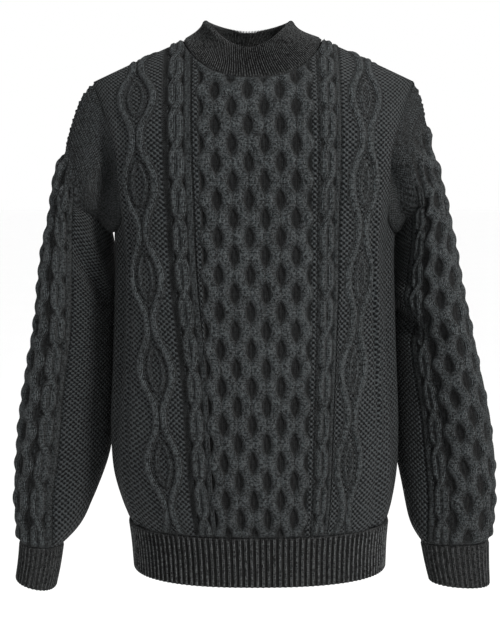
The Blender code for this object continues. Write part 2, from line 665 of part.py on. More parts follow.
def table_ring(table, names, k, phi, side):
    """Return a tube ring's points at angles phi, for a place k between the table's rows."""
    rows = np.arange(len(table), dtype=float)
    size = {name: smooth(rows, column(table, names, name), np.array(float(k))) for name in names}
    mid = np.array([(size["out_x"] + size["in_x"]) / 2, 0.0, (size["out_z"] + size["in_z"]) / 2])
    half = np.array([(size["out_x"] - size["in_x"]) / 2, 0.0, (size["out_z"] - size["in_z"]) / 2])
    power = 2 / TUBE_SQUARE
    across = np.sign(np.cos(phi)) * np.abs(np.cos(phi))**power
    along = np.abs(np.sin(phi))**power
    y = np.where(np.sin(phi) > 0, -size["front"] * along, size["back"] * along)
    points = mid + across[:, None] * half
    set_back = size["set_back"] * ease((1 - across) / 2)
    points[:, 1] = y + set_back
    points[:, 0] *= side
    return points


def even_ring(points, shares):
    """Return points at shares of a closed ring's length, from its first point."""
    closed = np.vstack([points, points[:1]])
    arc = np.concatenate([[0], np.cumsum(np.linalg.norm(np.diff(closed, axis=0), axis=1))])
    at = np.mod(shares, 1.0) * arc[-1]
    return np.stack([np.interp(at, arc, closed[:, axis]) for axis in range(3)], axis=-1)


def sleeve_ground(table, side, arm_points):
    """Work out a sleeve's smooth surface by share around (from the outside, to the front) and down."""
    phi = np.linspace(0, 2 * math.pi, CURVE_POINTS)[:-1]
    shares = np.linspace(0, 1, SLEEVE_GROUND_SHARES)
    hole = even_ring(arm_points, shares)
    first = even_ring(table_ring(table, SLEEVE_NAMES, 0, phi, side), shares)
    places = np.linspace(0, len(table) - 1, SLEEVE_GROUND_RINGS)
    rings = []
    for k in places:
        ring = even_ring(table_ring(table, SLEEVE_NAMES, k, phi, side), shares)
        weight = 1 - ease(np.array(k / ARMHOLE_BLEND))
        rings.append(ring + (hole - first) * weight)
    rings = np.array(rings)
    pinch_row = np.exp(-((places - PINCH_PLACE) / PINCH_REACH)**2)
    pinch_share = ease(1 - np.abs(shares - 0.5) / PINCH_SHARE)
    rings[:, :, 1] *= 1 - PINCH * pinch_row[:, None] * pinch_share[None, :]
    outer_line = rings[:, 0]
    drop = np.concatenate([[0], np.cumsum(np.linalg.norm(np.diff(outer_line, axis=0), axis=1))])
    return shares, drop, rings


def sleeve_lines(ring_length, count):
    """Return the sleeve's column lines as distances from the cables' middle, with their rises' kinds."""
    pitch = 2 * SLEEVE_HONEY_HALF / SLEEVE_HONEY_ROPES
    lines = [(-SLEEVE_DITCH, "ditch", 0), (-SLEEVE_ROPE, "rope", 0)]
    for k in range(SLEEVE_HONEY_ROPES):
        lines.append((-SLEEVE_HONEY_HALF + k * pitch, "ditch" if k == 0 else "hole", k))
        lines.append((-SLEEVE_HONEY_HALF + (k + 0.5) * pitch, "honey", k))
    lines += [(SLEEVE_HONEY_HALF, "ditch", 0), (SLEEVE_ROPE, "rope", 0), (SLEEVE_DITCH, "ditch", 0)]
    plain = count - len(lines)
    rest = ring_length - 2 * SLEEVE_DITCH
    for k in range(plain):
        lines.append((SLEEVE_DITCH + rest * (k + 1) / (plain + 1), "moss", 0))
    return lines


def sleeve_rise(kind, rope, drop):
    """Return the rise of one of the sleeve's column lines at a distance down from the shoulder."""
    turn = math.cos(2 * math.pi * drop / PERIOD)
    if kind == "honey":
        return HONEY_RISE
    if kind == "hole":
        near = turn if rope % 2 else -turn
        return HONEY_HOLE + (HONEY_RISE * CROSSING_SHARE - HONEY_HOLE) * float(ease(0.5 + 0.5 * near))
    if kind == "rope":
        return ROPE_RISE * SLEEVE_ROPE_SHARE
    if kind == "ditch":
        return DITCH_FALL
    return MOSS_RISE


def make_sleeve(piece, side, table, turn, arm):
    """Build a sleeve from the armhole's points down to the cuff."""
    arm_points, arm_normals, arm_away = arm
    shares, drop, rings = sleeve_ground(table, side, arm_points)
    count = len(arm_points)
    length = drop[-1]
    rows = np.arange(0, length - PERIOD / 4, PERIOD / SLEEVE_ROWS_PER_PERIOD)
    rows = np.concatenate([rows, [length]])
    low_ring = rings[SLEEVE_WIDE_RING]
    ring_length = float(np.linalg.norm(np.diff(low_ring, axis=0), axis=1).sum())
    lines = sorted(sleeve_lines(ring_length, count), key=lambda line: line[0])
    middle = -turn / 360.0
    closed = np.vstack([arm_points, arm_points[:1]])
    arc = np.concatenate([[0], np.cumsum(np.linalg.norm(np.diff(closed, axis=0), axis=1))])
    top_shares = arc[:-1] / arc[-1]
    low_shares = np.array([middle + place / ring_length for place, _, _ in lines])
    first = int(np.argmin(np.abs(low_shares - round(low_shares[0]))))
    order = [(first + i) % count for i in range(count)]
    low = np.array([low_shares[i] for i in order])
    low = np.unwrap(low * 2 * math.pi) / (2 * math.pi)
    low = low - round(low[0])
    kinds = [lines[i] for i in order]
    across = np.gradient(rings, axis=1)
    across[:, 0] = across[:, -1] = (across[:, 0] + across[:, -1]) / 2
    normals = unit(np.cross(across, np.gradient(rings, axis=0))) * side
    row_places = np.interp(rows, drop, np.arange(len(drop)))
    outer = {}
    inner = {}
    for j, (row_drop, place) in enumerate(zip(rows, row_places)):
        blend = float(ease(np.array(row_drop / (PERIOD * SLEEVE_BLEND))))
        for i in range(count):
            distance, kind, rope = kinds[i]
            swing = honey_swing(HOLE_ROW + row_drop, rope) * SLEEVE_SWING if kind == "honey" else 0.0
            target = low[i] - swing / ring_length
            share = top_shares[i] * (1 - blend) + target * blend
            point = read_ring(rings, place, share % 1.0)
            normal = unit(read_ring(normals, place, share % 1.0))
            if j == 0:
                normal = arm_normals[i]
                point = arm_points[i]
            fade = float(ease(np.array(min(row_drop, length - row_drop) / SEAM_FADE))) * blend
            v = length - row_drop
            bend = float(folds(piece, distance, v)) * fade
            dip = float(folds(piece, distance, v, PLAIN_SPREAD)) * fade
            outer[i, j] = point + normal * (sleeve_rise(kind, rope, row_drop) * fade + bend)
            inner[i, j] = point - normal * (WALL - dip)
            if j == 0:
                inner[i, j] = inner[i, j] + arm_away[i] * RIM_BEVEL
    tops = [len(rows) - 1] * count
    columns = list(range(count))
    faces = grid_faces(columns, list(range(len(rows))), tops, closed=True)
    plain_rows = list(range(0, SLEEVE_CAP_ROWS)) + list(range(SLEEVE_CAP_ROWS, len(rows) - 1, SLEEVE_PLAIN_STEP))
    plain_faces = grid_faces(columns, plain_rows, tops, closed=True)
    return shell(piece, outer, inner, faces, plain_faces)


def read_ring(grid, place, share):
    """Read a ring table between its rows and shares."""
    a = min(place, len(grid) - 1.001)
    b = share * (grid.shape[1] - 1)
    i = int(a)
    j = min(int(b), grid.shape[1] - 2)
    a -= i
    b -= j
    low = grid[i, j] * (1 - b) + grid[i, j + 1] * b
    high = grid[i + 1, j] * (1 - b) + grid[i + 1, j + 1] * b
    return low * (1 - a) + high * a


def make_cuff(piece, side, table):
    """Build a ribbed cuff."""
    phi = np.linspace(0, 2 * math.pi, CURVE_POINTS)[:-1]
    count = CUFF_RIBS * 2
    shares = np.arange(count) / count
    places = CUFF_PLACES
    outer = {}
    inner = {}
    for j, place in enumerate(places):
        ring = even_ring(table_ring(table, SLEEVE_NAMES, place, phi, side), shares)
        below = even_ring(table_ring(table, SLEEVE_NAMES, min(place + CUFF_NEAR, places[-1]), phi, side), shares)
        above = even_ring(table_ring(table, SLEEVE_NAMES, max(place - CUFF_NEAR, 0.0), phi, side), shares)
        down = unit(below - above)
        around = np.roll(ring, -1, axis=0) - np.roll(ring, 1, axis=0)
        normal = unit(np.cross(around, down)) * side
        if j == 0:
            ring = ring + down * EDGE_GAP
        rise = CUFF_RIB_RISE * (0.0 if j == 0 else 1.0)
        for i in range(count):
            wave = rise if i % 2 else -rise
            outer[i, j] = ring[i] + normal[i] * wave
            inner[i, j] = ring[i] - normal[i] * WALL
    tops = [len(places) - 1] * count
    faces = grid_faces(list(range(count)), list(range(len(places))), tops, closed=True)
    plain_faces = grid_faces(list(range(0, count, CUFF_PLAIN_STEP)), [0, 2, 3], tops, closed=True)
    return shell(piece, outer, inner, faces, plain_faces)


def make_hem_rib(piece, facing):
    """Build the front or back half of the hem rib."""
    count = HEM_RIBS * 2 + 1
    heights = (RIB_TOP - EDGE_GAP, RIB_TOP - HEM_SET_IN, HEM_BOTTOM)
    outer = {}
    inner = {}
    for j, z in enumerate(heights):
        x, depth = body_row(z, facing)
        arc = np.concatenate([[0], np.cumsum(np.hypot(np.diff(x), np.diff(depth)))])
        at = np.linspace(0, arc[-1], count)
        height = np.full(count, z)
        ring = np.stack([np.interp(at, arc, x), facing * np.interp(at, arc, depth), height], axis=-1)
        along = np.gradient(ring, axis=0)
        normal = unit(np.stack([along[:, 1], -along[:, 0], np.zeros(count)], axis=-1)) * -facing
        for i in range(count):
            on_side = i in (0, count - 1)
            wave = 0.0 if on_side or j == 0 else HEM_RIB_RISE * (1 if i % 2 else -1)
            if on_side:
                normal[i] = (math.copysign(1, ring[i, 0]), 0.0, 0.0)
                ring[i, 1] = facing * SEAM_HALF_GAP
            outer[i, j] = ring[i] + normal[i] * wave
            inner[i, j] = ring[i] - normal[i] * WALL
    tops = [len(heights) - 1] * count
    faces = grid_faces(list(range(count)), list(range(len(heights))), tops)
    plain_faces = grid_faces(list(range(0, count, HEM_PLAIN_STEP)), [0, 1, 2], tops)
    return shell(piece, outer, inner, faces, plain_faces)


def neck_base(front_neck, back_neck):
    """Join the panels' necklines into one ring, from the left shoulder along the front and back."""
    corner_right = tuple((a + b) / 2 for a, b in zip(front_neck[-1], back_neck[0]))
    corner_left = tuple((a + b) / 2 for a, b in zip(front_neck[0], back_neck[-1]))
    halves = []
    front_side = [corner_left, *front_neck[1:-1], corner_right]
    back_side = [corner_right, *back_neck[1:-1], corner_left]
    for listed in (front_side, back_side):
        outer = np.array([pair[0] for pair in listed])
        normal = unit(outer - np.array([pair[1] for pair in listed]))
        along = np.gradient(outer, axis=0)
        along[0] = along[-1] = (0.0, 1.0, 0.0)
        toward = unit(np.cross(normal, along))
        middle = np.array([NECK_TOP[0], 0.0, 0.0])
        flip = np.sign(np.sum(toward * (middle - outer), axis=1, keepdims=True))
        arc = np.concatenate([[0], np.cumsum(np.linalg.norm(np.diff(outer, axis=0), axis=1))])
        at = np.linspace(0, arc[-1], NECK_RIBS + 1)
        read = [np.stack([np.interp(at, arc, part[:, axis]) for axis in range(3)], axis=-1)
                for part in (outer, normal, toward * flip)]
        halves.append([part[:-1] for part in read])
    return [np.vstack(parts) for parts in zip(*halves)]


def neck_top_ring():
    """Return the neckband's top edge, starting on the left and going along the front."""
    size = dict(zip(NECK_NAMES, NECK_TOP))
    phi = np.linspace(0, math.pi, 181)
    halves = []
    for facing, depth, z_end in ((-1, size["front"], size["z_front"]), (1, size["back"], size["z_back"])):
        across = -np.cos(phi) if facing < 0 else np.cos(phi)
        half = np.where(across < 0, size["left"], size["right"])
        x = size["x"] + across * half
        y = facing * depth * np.sin(phi)
        z = size["z_side"] + (z_end - size["z_side"]) * np.sin(phi)**2
        ring = np.stack([x, y, z], axis=-1)
        arc = np.concatenate([[0], np.cumsum(np.linalg.norm(np.diff(ring, axis=0), axis=1))])
        at = np.linspace(0, arc[-1], NECK_RIBS + 1)[:-1]
        halves.append(np.stack([np.interp(at, arc, ring[:, axis]) for axis in range(3)], axis=-1))
    return np.vstack(halves)


def make_neckband(piece, front_neck, back_neck):
    """Build the folded, ribbed neckband, leaning in from the neckline to its top edge."""
    base, base_normal, toward = neck_base(front_neck, back_neck)
    top = neck_top_ring()
    reach = np.linalg.norm(top - base, axis=1, keepdims=True)
    lean = unit(top - base)
    rise_way = unit(lean + np.array([0.0, 0.0, NECK_UPRIGHT]))
    count = len(base)
    places = NECK_PLACES
    rows = []
    for w in places:
        start = (2 * w**3 - 3 * w**2 + 1) * base + (w**3 - 2 * w**2 + w) * reach * unit(toward + lean)
        rows.append(start + (3 * w**2 - 2 * w**3) * top + (w**3 - w**2) * reach * rise_way)
    rows[0] = base + toward * NECK_GAP
    rows = np.array(rows)
    around = np.roll(rows, -1, axis=1) - np.roll(rows, 1, axis=1)
    normals = unit(np.cross(around, np.gradient(rows, axis=0)))
    middle = rows.mean(axis=1, keepdims=True)
    away = np.sum(normals * (rows - middle), axis=-1, keepdims=True)
    normals = normals * np.sign(away.mean())
    normals[0] = base_normal
    outer = {}
    inner = {}
    last = len(places) - 1
    for j in range(len(places)):
        thick = WALL if j == 0 else NECK_WALL
        for i in range(count):
            wave = 0.0 if j == 0 else NECK_RIB_RISE * (1 if i % 2 else -1)
            inside = rows[j, i] - normals[j, i] * thick
            if j == last:
                crest = rise_way[i] * NECK_FOLD - normals[j, i] * NECK_WALL * NECK_FOLD_IN
                outer[i, j] = rows[j, i] + crest + normals[j, i] * wave * NECK_FOLD_WAVE
            else:
                outer[i, j] = rows[j, i] + normals[j, i] * wave
            inner[i, j] = inside
    tops = [last] * count
    faces = grid_faces(list(range(count)), list(range(len(places))), tops, closed=True)
    plain_faces = grid_faces(list(range(0, count, NECK_PLAIN_STEP)), [0, 1, last], tops, closed=True)
    return shell(piece, outer, inner, faces, plain_faces)


def paint(piece, name, look):
    """Give a piece its own material."""
    material = bpy.data.materials.new(name)
    material.use_nodes = True
    shader = material.node_tree.nodes["Principled BSDF"]
    shader.inputs["Base Color"].default_value = look["colour"]
    shader.inputs["Roughness"].default_value = look["roughness"]
    shader.inputs["Metallic"].default_value = 0.0
    piece.data.materials.append(material)


def main():
    for thing in list(bpy.data.objects):
        bpy.data.objects.remove(thing, do_unlink=True)
    front, _, front_neck, front_arms = make_panel("front", -1)
    back, _, back_neck, back_arms = make_panel("back", 1)
    arm_left = armhole_curve(front_arms[-1], back_arms[-1])
    arm_right = armhole_curve(front_arms[1], back_arms[1])
    sleeve_left = make_sleeve("sleeve_left", -1, SLEEVE_LEFT, SLEEVE_TURN_LEFT, arm_left)
    sleeve_right = make_sleeve("sleeve_right", 1, SLEEVE_RIGHT, SLEEVE_TURN_RIGHT, arm_right)
    cuff_left = make_cuff("cuff_left", -1, CUFF_LEFT)
    cuff_right = make_cuff("cuff_right", 1, CUFF_RIGHT)
    hem_front = make_hem_rib("hem_rib_front", -1)
    hem_back = make_hem_rib("hem_rib_back", 1)
    neckband = make_neckband("neckband", front_neck, back_neck)
    for piece in (front, back, sleeve_left, sleeve_right):
        paint(piece, piece.name + "_knit", YARN)
    for piece in (cuff_left, cuff_right, hem_front, hem_back, neckband):
        paint(piece, piece.name + "_rib", RIB_YARN)


main()
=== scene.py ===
"""The crewneck sweater's looks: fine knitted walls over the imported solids, wool, camera and light.

Metres, +Z up, the front faces -Y and +X is to the viewer's right, as in the frame.
"""

import math

import bpy
import mathutils
import numpy as np
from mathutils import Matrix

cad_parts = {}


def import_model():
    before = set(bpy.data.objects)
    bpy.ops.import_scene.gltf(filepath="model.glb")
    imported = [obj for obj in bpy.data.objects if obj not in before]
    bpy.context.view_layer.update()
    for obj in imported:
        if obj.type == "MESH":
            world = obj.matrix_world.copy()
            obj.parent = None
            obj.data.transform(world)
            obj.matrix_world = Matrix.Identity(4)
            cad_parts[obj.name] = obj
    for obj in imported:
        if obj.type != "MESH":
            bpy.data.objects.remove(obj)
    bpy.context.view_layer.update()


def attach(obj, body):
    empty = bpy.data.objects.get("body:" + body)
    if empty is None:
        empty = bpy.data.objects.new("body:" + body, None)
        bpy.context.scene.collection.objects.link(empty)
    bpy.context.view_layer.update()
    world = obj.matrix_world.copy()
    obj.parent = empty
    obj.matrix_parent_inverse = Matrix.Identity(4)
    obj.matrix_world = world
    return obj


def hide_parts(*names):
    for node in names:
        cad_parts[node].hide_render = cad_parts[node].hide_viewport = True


# Cloth and seams
WALL = 0.0030
SEAM_HALF_GAP = 0.0002
EDGE_GAP = 0.0006
ARMHOLE_GAP = 0.0004
RIM_BEVEL = 0.0016
SEAM_FADE = 0.006         # the relief fades out this near a seam

# Body: outer widths left and right of the middle, and depths before and behind the side seams
BODY_NAMES = ("z", "left", "right", "front", "back", "centre")
BODY_RINGS = [
    (-0.642, 0.1460, 0.1600, 0.1280, 0.1080, 0.0080),
    (-0.600, 0.1500, 0.1620, 0.1300, 0.1100, 0.0080),
    (-0.582, 0.1530, 0.1640, 0.1330, 0.1120, 0.0080),
    (-0.564, 0.1600, 0.1685, 0.1365, 0.1150, 0.0078),
    (-0.530, 0.1705, 0.1745, 0.1385, 0.1175, 0.0072),
    (-0.480, 0.1750, 0.1770, 0.1360, 0.1170, 0.0064),
    (-0.400, 0.1730, 0.1750, 0.1300, 0.1140, 0.0055),
    (-0.320, 0.1705, 0.1725, 0.1240, 0.1110, 0.0045),
    (-0.235, 0.1705, 0.1720, 0.1185, 0.1080, 0.0035),
    (-0.180, 0.1790, 0.1790, 0.1150, 0.1060, 0.0028),
    (-0.140, 0.1860, 0.1850, 0.1120, 0.1050, 0.0024),
    (-0.080, 0.1930, 0.1920, 0.1060, 0.1040, 0.0014),
    (-0.040, 0.1970, 0.1960, 0.1010, 0.1030, 0.0006),
    (+0.030, 0.2000, 0.2000, 0.0950, 0.1000, 0.0000),
]
BODY_SQUARE = 2.4
RIB_TOP = -0.582
HEM_BOTTOM = -0.642
UNDERARM = -0.235

# Shoulder ridge and neckline
RIDGE_PEAK = 0.0512
RIDGE_SLOPE = 0.50
RIDGE_ROUND = 0.060
SHOULDER_DEPTH = 0.105
SHOULDER_CURVE = 1.6
SHOULDER_FULL = 0.75
SHOULDER_POINT = 0.196
NECK_LEFT = 0.0866
NECK_RIGHT = 0.0830
NECK_DROP_FRONT = 0.0476
NECK_DROP_BACK = 0.0200
NECK_CURVE = 2.6
NECK_FULL = 0.77

# Half of one panel across, and its armhole
HALF = 0.247
ARMHOLE_IN = 0.1780
ARMHOLE_POINT = 0.2330
ARMHOLE_NARROW = -0.140
ARMHOLE_CURVE = 1.7

# Knit: one stitch is STITCH wide and COURSE tall
PERIOD = 0.0435
STITCH = 0.0031
COURSE = PERIOD / 18
HOLE_ROW = 0.0445
HONEY_HALF = 0.0665
HONEY_ROPES = 7
HONEY_SWING = 0.0043
HONEY_WIDTH = 0.0087
HONEY_RISE = 0.0050
HONEY_FLOOR = -0.0022
ROPE_RISE = 0.0042
DIAMOND_PERIOD = 0.1088
DIAMOND_CROSSING = 0.030
DIAMOND_ROPE = 0.0058
DIAMOND_RISE = 0.0040

MOSS_RISE = 0.0006
KNIT_RISE = 0.0012        # columns of plain stitches
LADDER_FALL = -0.0018
DITCH_FALL = -0.0022
DITCH_IN = -0.0008
DITCH_OUT = 0.0012
ROPE_HALF = 0.0094
ROPE_FOOT = -0.0020
DIAMOND_HALF = 0.026      # half the moss field round a column of diamonds
DIAMOND_SOFT = 0.010
LOOP_INSET = 0.0125       # the small loop inside a diamond
LOOP_HALF = 0.0030
LOOP_RISE = 0.0022

# The hem draws the knit in below a height, most in the middle
DRAWN_IN = 0.19
DRAWN_FROM = 0.36
DRAWN_OVER = 0.34
DRAWN_MIDDLE = 0.150

# Pattern from the honeycomb outwards on the two sides: distances from the middle line
SIDE_NAMES = ("ditch", "rope", "knit_in", "knit_out", "ladder_in", "ladder_out",
              "diamond", "reach", "narrow")
SIDES = {
    "left": (0.0745, 0.0935, 0.0745, 0.0840, 0.1035, 0.1115, 0.1435, 0.0225, 0.0050),
    "right": (0.0745, 0.0862, 0.0955, 0.1015, 0.1015, 0.1035, 0.1340, 0.0180, 0.0050),
}

# Fine mesh: spacing across and up, and every how manyth point the plain inside has
FINE_ACROSS = 0.0016
FINE_UP = 0.0018
LONGEST = 0.70
FAN_START = 0.150
FAN_COLUMNS = 28
SIDE_COLUMNS = 30
PLAIN_EVERY = 4

# Sleeves: outward and height of a ring's outer and inner points, its front and back, and
# how far its inner side lies back beside the body
SLEEVE_NAMES = ("out_x", "out_z", "in_x", "in_z", "front", "back", "set_back")
SLEEVE_LEFT = [
    (0.1960, -0.0513, 0.1705, -0.2350, 0.064, 0.064, 0.000),
    (0.2105, -0.0700, 0.1735, -0.2270, 0.062, 0.061, 0.000),
    (0.2215, -0.1000, 0.1790, -0.2215, 0.060, 0.059, 0.008),
    (0.2300, -0.1320, 0.1850, -0.2290, 0.059, 0.058, 0.020),
    (0.2410, -0.1650, 0.1745, -0.2450, 0.058, 0.057, 0.033),
    (0.2465, -0.2100, 0.1718, -0.2680, 0.058, 0.056, 0.042),
    (0.2560, -0.2550, 0.1708, -0.2950, 0.058, 0.055, 0.046),
    (0.2615, -0.3000, 0.1698, -0.3250, 0.058, 0.054, 0.046),
    (0.2660, -0.3450, 0.1695, -0.3600, 0.058, 0.052, 0.048),
    (0.2755, -0.4000, 0.1698, -0.4050, 0.058, 0.050, 0.048),
    (0.2840, -0.4550, 0.1735, -0.4550, 0.057, 0.046, 0.046),
    (0.2890, -0.5100, 0.1800, -0.5080, 0.056, 0.042, 0.034),
    (0.2915, -0.5550, 0.1940, -0.5500, 0.055, 0.038, 0.018),
    (0.2895, -0.5900, 0.2120, -0.5900, 0.051, 0.033, 0.006),
    (0.2875, -0.6120, 0.2350, -0.6160, 0.045, 0.027, 0.000),
]
SLEEVE_RIGHT = [
    (0.1960, -0.0513, 0.1720, -0.2350, 0.064, 0.064, 0.000),
    (0.2045, -0.0700, 0.1750, -0.2270, 0.062, 0.061, 0.000),
    (0.2110, -0.1000, 0.1800, -0.2215, 0.060, 0.059, 0.008),
    (0.2185, -0.1320, 0.1855, -0.2290, 0.059, 0.058, 0.020),
    (0.2260, -0.1650, 0.1745, -0.2450, 0.058, 0.057, 0.033),
    (0.2350, -0.2100, 0.1718, -0.2680, 0.058, 0.056, 0.042),
    (0.2440, -0.2550, 0.1708, -0.2950, 0.058, 0.055, 0.046),
    (0.2520, -0.3000, 0.1698, -0.3250, 0.058, 0.054, 0.046),
    (0.2620, -0.3450, 0.1695, -0.3600, 0.058, 0.052, 0.048),
    (0.2735, -0.4000, 0.1698, -0.4050, 0.058, 0.050, 0.048),
    (0.2850, -0.4550, 0.1740, -0.4550, 0.057, 0.046, 0.046),
    (0.2920, -0.5100, 0.1775, -0.5080, 0.055, 0.042, 0.040),
    (0.2935, -0.5550, 0.1850, -0.5500, 0.052, 0.038, 0.024),
    (0.2915, -0.5900, 0.1930, -0.5900, 0.045, 0.033, 0.008),
    (0.2885, -0.6120, 0.2060, -0.6140, 0.036, 0.027, 0.000),
]
CUFF_LEFT = [
    SLEEVE_LEFT[-1],
    (0.2895, -0.6350, 0.2395, -0.6450, 0.044, 0.026, 0.000),
    (0.2928, -0.6590, 0.2450, -0.6710, 0.044, 0.025, 0.000),
]
CUFF_RIGHT = [
    SLEEVE_RIGHT[-1],
    (0.2890, -0.6400, 0.2110, -0.6390, 0.035, 0.026, 0.000),
    (0.2900, -0.6680, 0.2170, -0.6640, 0.035, 0.025, 0.000),
]
PINCH = 0.58              # the underarm's front and back are drawn in by this share of their depth
PINCH_PLACE = 2.2         # at this place down the sleeve table
PINCH_REACH = 2.1         # over this many of its rows
PINCH_SHARE = 0.28        # and over this share of the ring, each way from the underarm
ARMHOLE_BLEND = 5         # rings over which the armhole's shape passes into the tube
TURN_NAMES = ("down", "turn")     # distance down, and degrees from the outside to the front
SLEEVE_TURNS = {
    "sleeve_left": [(0.0, -30), (0.10, -14), (0.20, 4), (0.30, 10), (0.45, 14), (0.60, 12)],
    "sleeve_right": [(0.0, 0), (0.09, 16), (0.20, 42), (0.30, 50), (0.45, 50), (0.60, 48)],
}
SLEEVE_HONEY_HALF = 0.0380
SLEEVE_HONEY_ROPES = 4
SLEEVE_ROPE = 0.0510
SLEEVE_ROPE_SHARE = 0.9   # of the body's rope rise
SLEEVE_KNIT = (0.0610, 0.0675)      # these three run from and to a distance beside the cables' middle
SLEEVE_LADDER = (0.0685, 0.0705)
SLEEVE_DITCH = (0.0385, 0.0412)
SLEEVE_COLUMNS = 200
CABLE_STARTS = {"sleeve_left": 0.070, "sleeve_right": 0.030}
CABLE_START_SOFT = 0.045
CAP_RISE = 0.0010         # the plain top of a sleeve, with ridges across it
CAP_RIDGE = 0.0006
CAP_RIDGE_STEP = 0.0058
SLEEVE_GROUND_SHARES = 121
SLEEVE_GROUND_RINGS = 141

# Neckband: a ring's middle and half widths, heights before, beside and behind
NECK_NAMES = ("x", "left", "right", "front", "back", "z_front", "z_side", "z_back")
NECK_TOP = (-0.0070, 0.0540, 0.0540, 0.0700, 0.0560, -0.0150, +0.0200, +0.0100)
NECK_WALL = 0.0048
NECK_GAP = 0.0013
NECK_UPRIGHT = 1.2
NECK_FOLD = 0.0030
NECK_ROWS = 16
NECK_FOLD_ROWS = 8
NECK_SAMPLES = 6

# Ribs
HEM_RIBS = 70
HEM_RIB_RISE = 0.0015
CUFF_RIBS = 34
CUFF_RIB_RISE = 0.0011
CUFF_NEAR = 0.1
CUFF_LENGTH = 0.056
NECK_RIBS = 86
NECK_RIB_RISE = 0.0015
RIB_SAMPLES = 8
HEM_CONTRAST = 3.0        # times the ribs' real height, in the painted shade that the wool's colour reads
CUFF_CONTRAST = 1.2
NECK_CONTRAST = 2.4
RIB_ROUND = 0.0022        # the free edge rounds off over this length
TUBE_SQUARE = 2.2

# Folds: which piece, then the place, turn and size of a soft trough (negative rise) or ridge.
# u runs from a panel's middle line, or from a sleeve's outside line to the front; v from the lower edge.
FOLD_NAMES = ("piece", "u", "v", "turn", "long", "wide", "rise")
FOLDS = [
    ("front", -0.176, 0.170, 92, 0.170, 0.011, -0.0050),
    ("front", +0.168, 0.170, 88, 0.190, 0.011, -0.0045),
    ("front", -0.150, 0.060, 80, 0.060, 0.012, -0.0035),
    ("front", +0.150, 0.050, 98, 0.055, 0.012, -0.0035),
    ("front", -0.120, 0.405, 35, 0.060, 0.013, +0.0025),
    ("front", +0.130, 0.395, 145, 0.060, 0.013, +0.0025),
    ("back", -0.165, 0.180, 90, 0.160, 0.012, -0.0045),
    ("back", +0.160, 0.160, 93, 0.170, 0.012, -0.0045),
    ("back", -0.080, 0.440, 20, 0.070, 0.014, -0.0030),
    ("back", +0.085, 0.445, 160, 0.070, 0.014, -0.0030),
    ("sleeve_left", +0.116, 0.550, 0, 0.052, 0.022, -0.0270),
    ("sleeve_right", +0.106, 0.550, 0, 0.052, 0.022, -0.0270),
    ("sleeve_right", +0.122, 0.285, 35, 0.050, 0.014, -0.0100),
    ("sleeve_right", +0.114, 0.325, 35, 0.050, 0.020, +0.0060),
    ("sleeve_left", +0.102, 0.360, 130, 0.050, 0.014, -0.0080),
    ("sleeve_left", +0.101, 0.400, 130, 0.050, 0.020, +0.0050),
    ("front", -0.206, 0.250, 90, 0.190, 0.020, -0.0130),
    ("front", +0.206, 0.250, 90, 0.190, 0.022, -0.0130),
    ("front", -0.1775, 0.240, 90, 0.170, 0.0045, +0.0026),
    ("front", -0.1675, 0.240, 90, 0.170, 0.0034, -0.0034),
    ("front", +0.1620, 0.230, 90, 0.160, 0.0055, +0.0026),
    ("front", +0.1525, 0.220, 90, 0.150, 0.0034, -0.0034),
    ("back", -0.213, 0.250, 90, 0.190, 0.020, -0.0080),
    ("back", +0.213, 0.250, 90, 0.190, 0.020, -0.0080),
    ("sleeve_left", -0.060, 0.430, 120, 0.060, 0.011, -0.0050),
    ("sleeve_left", -0.075, 0.285, 60, 0.050, 0.011, -0.0040),
    ("sleeve_left", -0.060, 0.060, 15, 0.050, 0.010, -0.0040),
    ("sleeve_right", -0.075, 0.350, 50, 0.055, 0.011, -0.0055),
    ("sleeve_right", -0.060, 0.250, 35, 0.045, 0.011, -0.0035),
    ("sleeve_right", -0.070, 0.055, 165, 0.050, 0.010, -0.0040),
]

# The smooth ground surfaces
SMOOTH_STEP = 0.0025
GROUND_COLUMNS = 198
LEVEL_STEP = 0.0030
CAP_START = -0.080
CAP_END = 0.0221
CAP_LEVEL_STEP = 0.0007
CURVE_POINTS = 361
EDGE_STEP = 0.0004
ARM_STEP = 0.0010
ARM_CLEAR = 0.0003
NEAR_RIDGE = 0.0040

# Camera, floor and light
CAMERA_PLACE = (-0.0049, -2.19, -0.12)
CAMERA_TILT = -3.1
CAMERA_SHIFT = -0.12
LENS = 104.0
FLOOR_SIZE = 60.0
FLOOR_HEIGHT = -1.4
FLOOR_LOW = (0.97, 0.97, 0.97, 1.0)
FLOOR_HIGH = (0.99, 0.99, 0.99, 1.0)
WORLD = 1.0
LIGHTS = [
    ("key", (1.45, -1.95, 1.3), (0.0, 0.0, -0.3), 0.6, 113.0, (1.0, 0.99, 0.97)),
    ("fill", (-2.0, -1.8, 0.9), (0.0, 0.0, -0.3), 1.2, 3.0, (0.97, 0.99, 1.0)),
]

# Yarn: dark, pale and fleck colours; the shader mixes dark to pale by heather and by painted shade between
# the stitches
KNIT_COLOURS = ((0.0015, 0.0016, 0.0017, 1.0), (0.066, 0.073, 0.076, 1.0), (0.075, 0.115, 0.125, 1.0))
RIB_COLOURS = ((0.0015, 0.0016, 0.0017, 1.0), (0.084, 0.088, 0.089, 1.0), (0.080, 0.105, 0.112, 1.0))

# painted shade that darkens the relief's hollows
HOLLOW_SHADE = (0.10, 0.10, 0.10, 1.0)
STITCH_BUMP = 0.0024
MOSS_TURN = math.pi * 0.80


def column(table, names, name):
    """Return one named column of a table."""
    place = names.index(name)
    return np.array([row[place] for row in table])


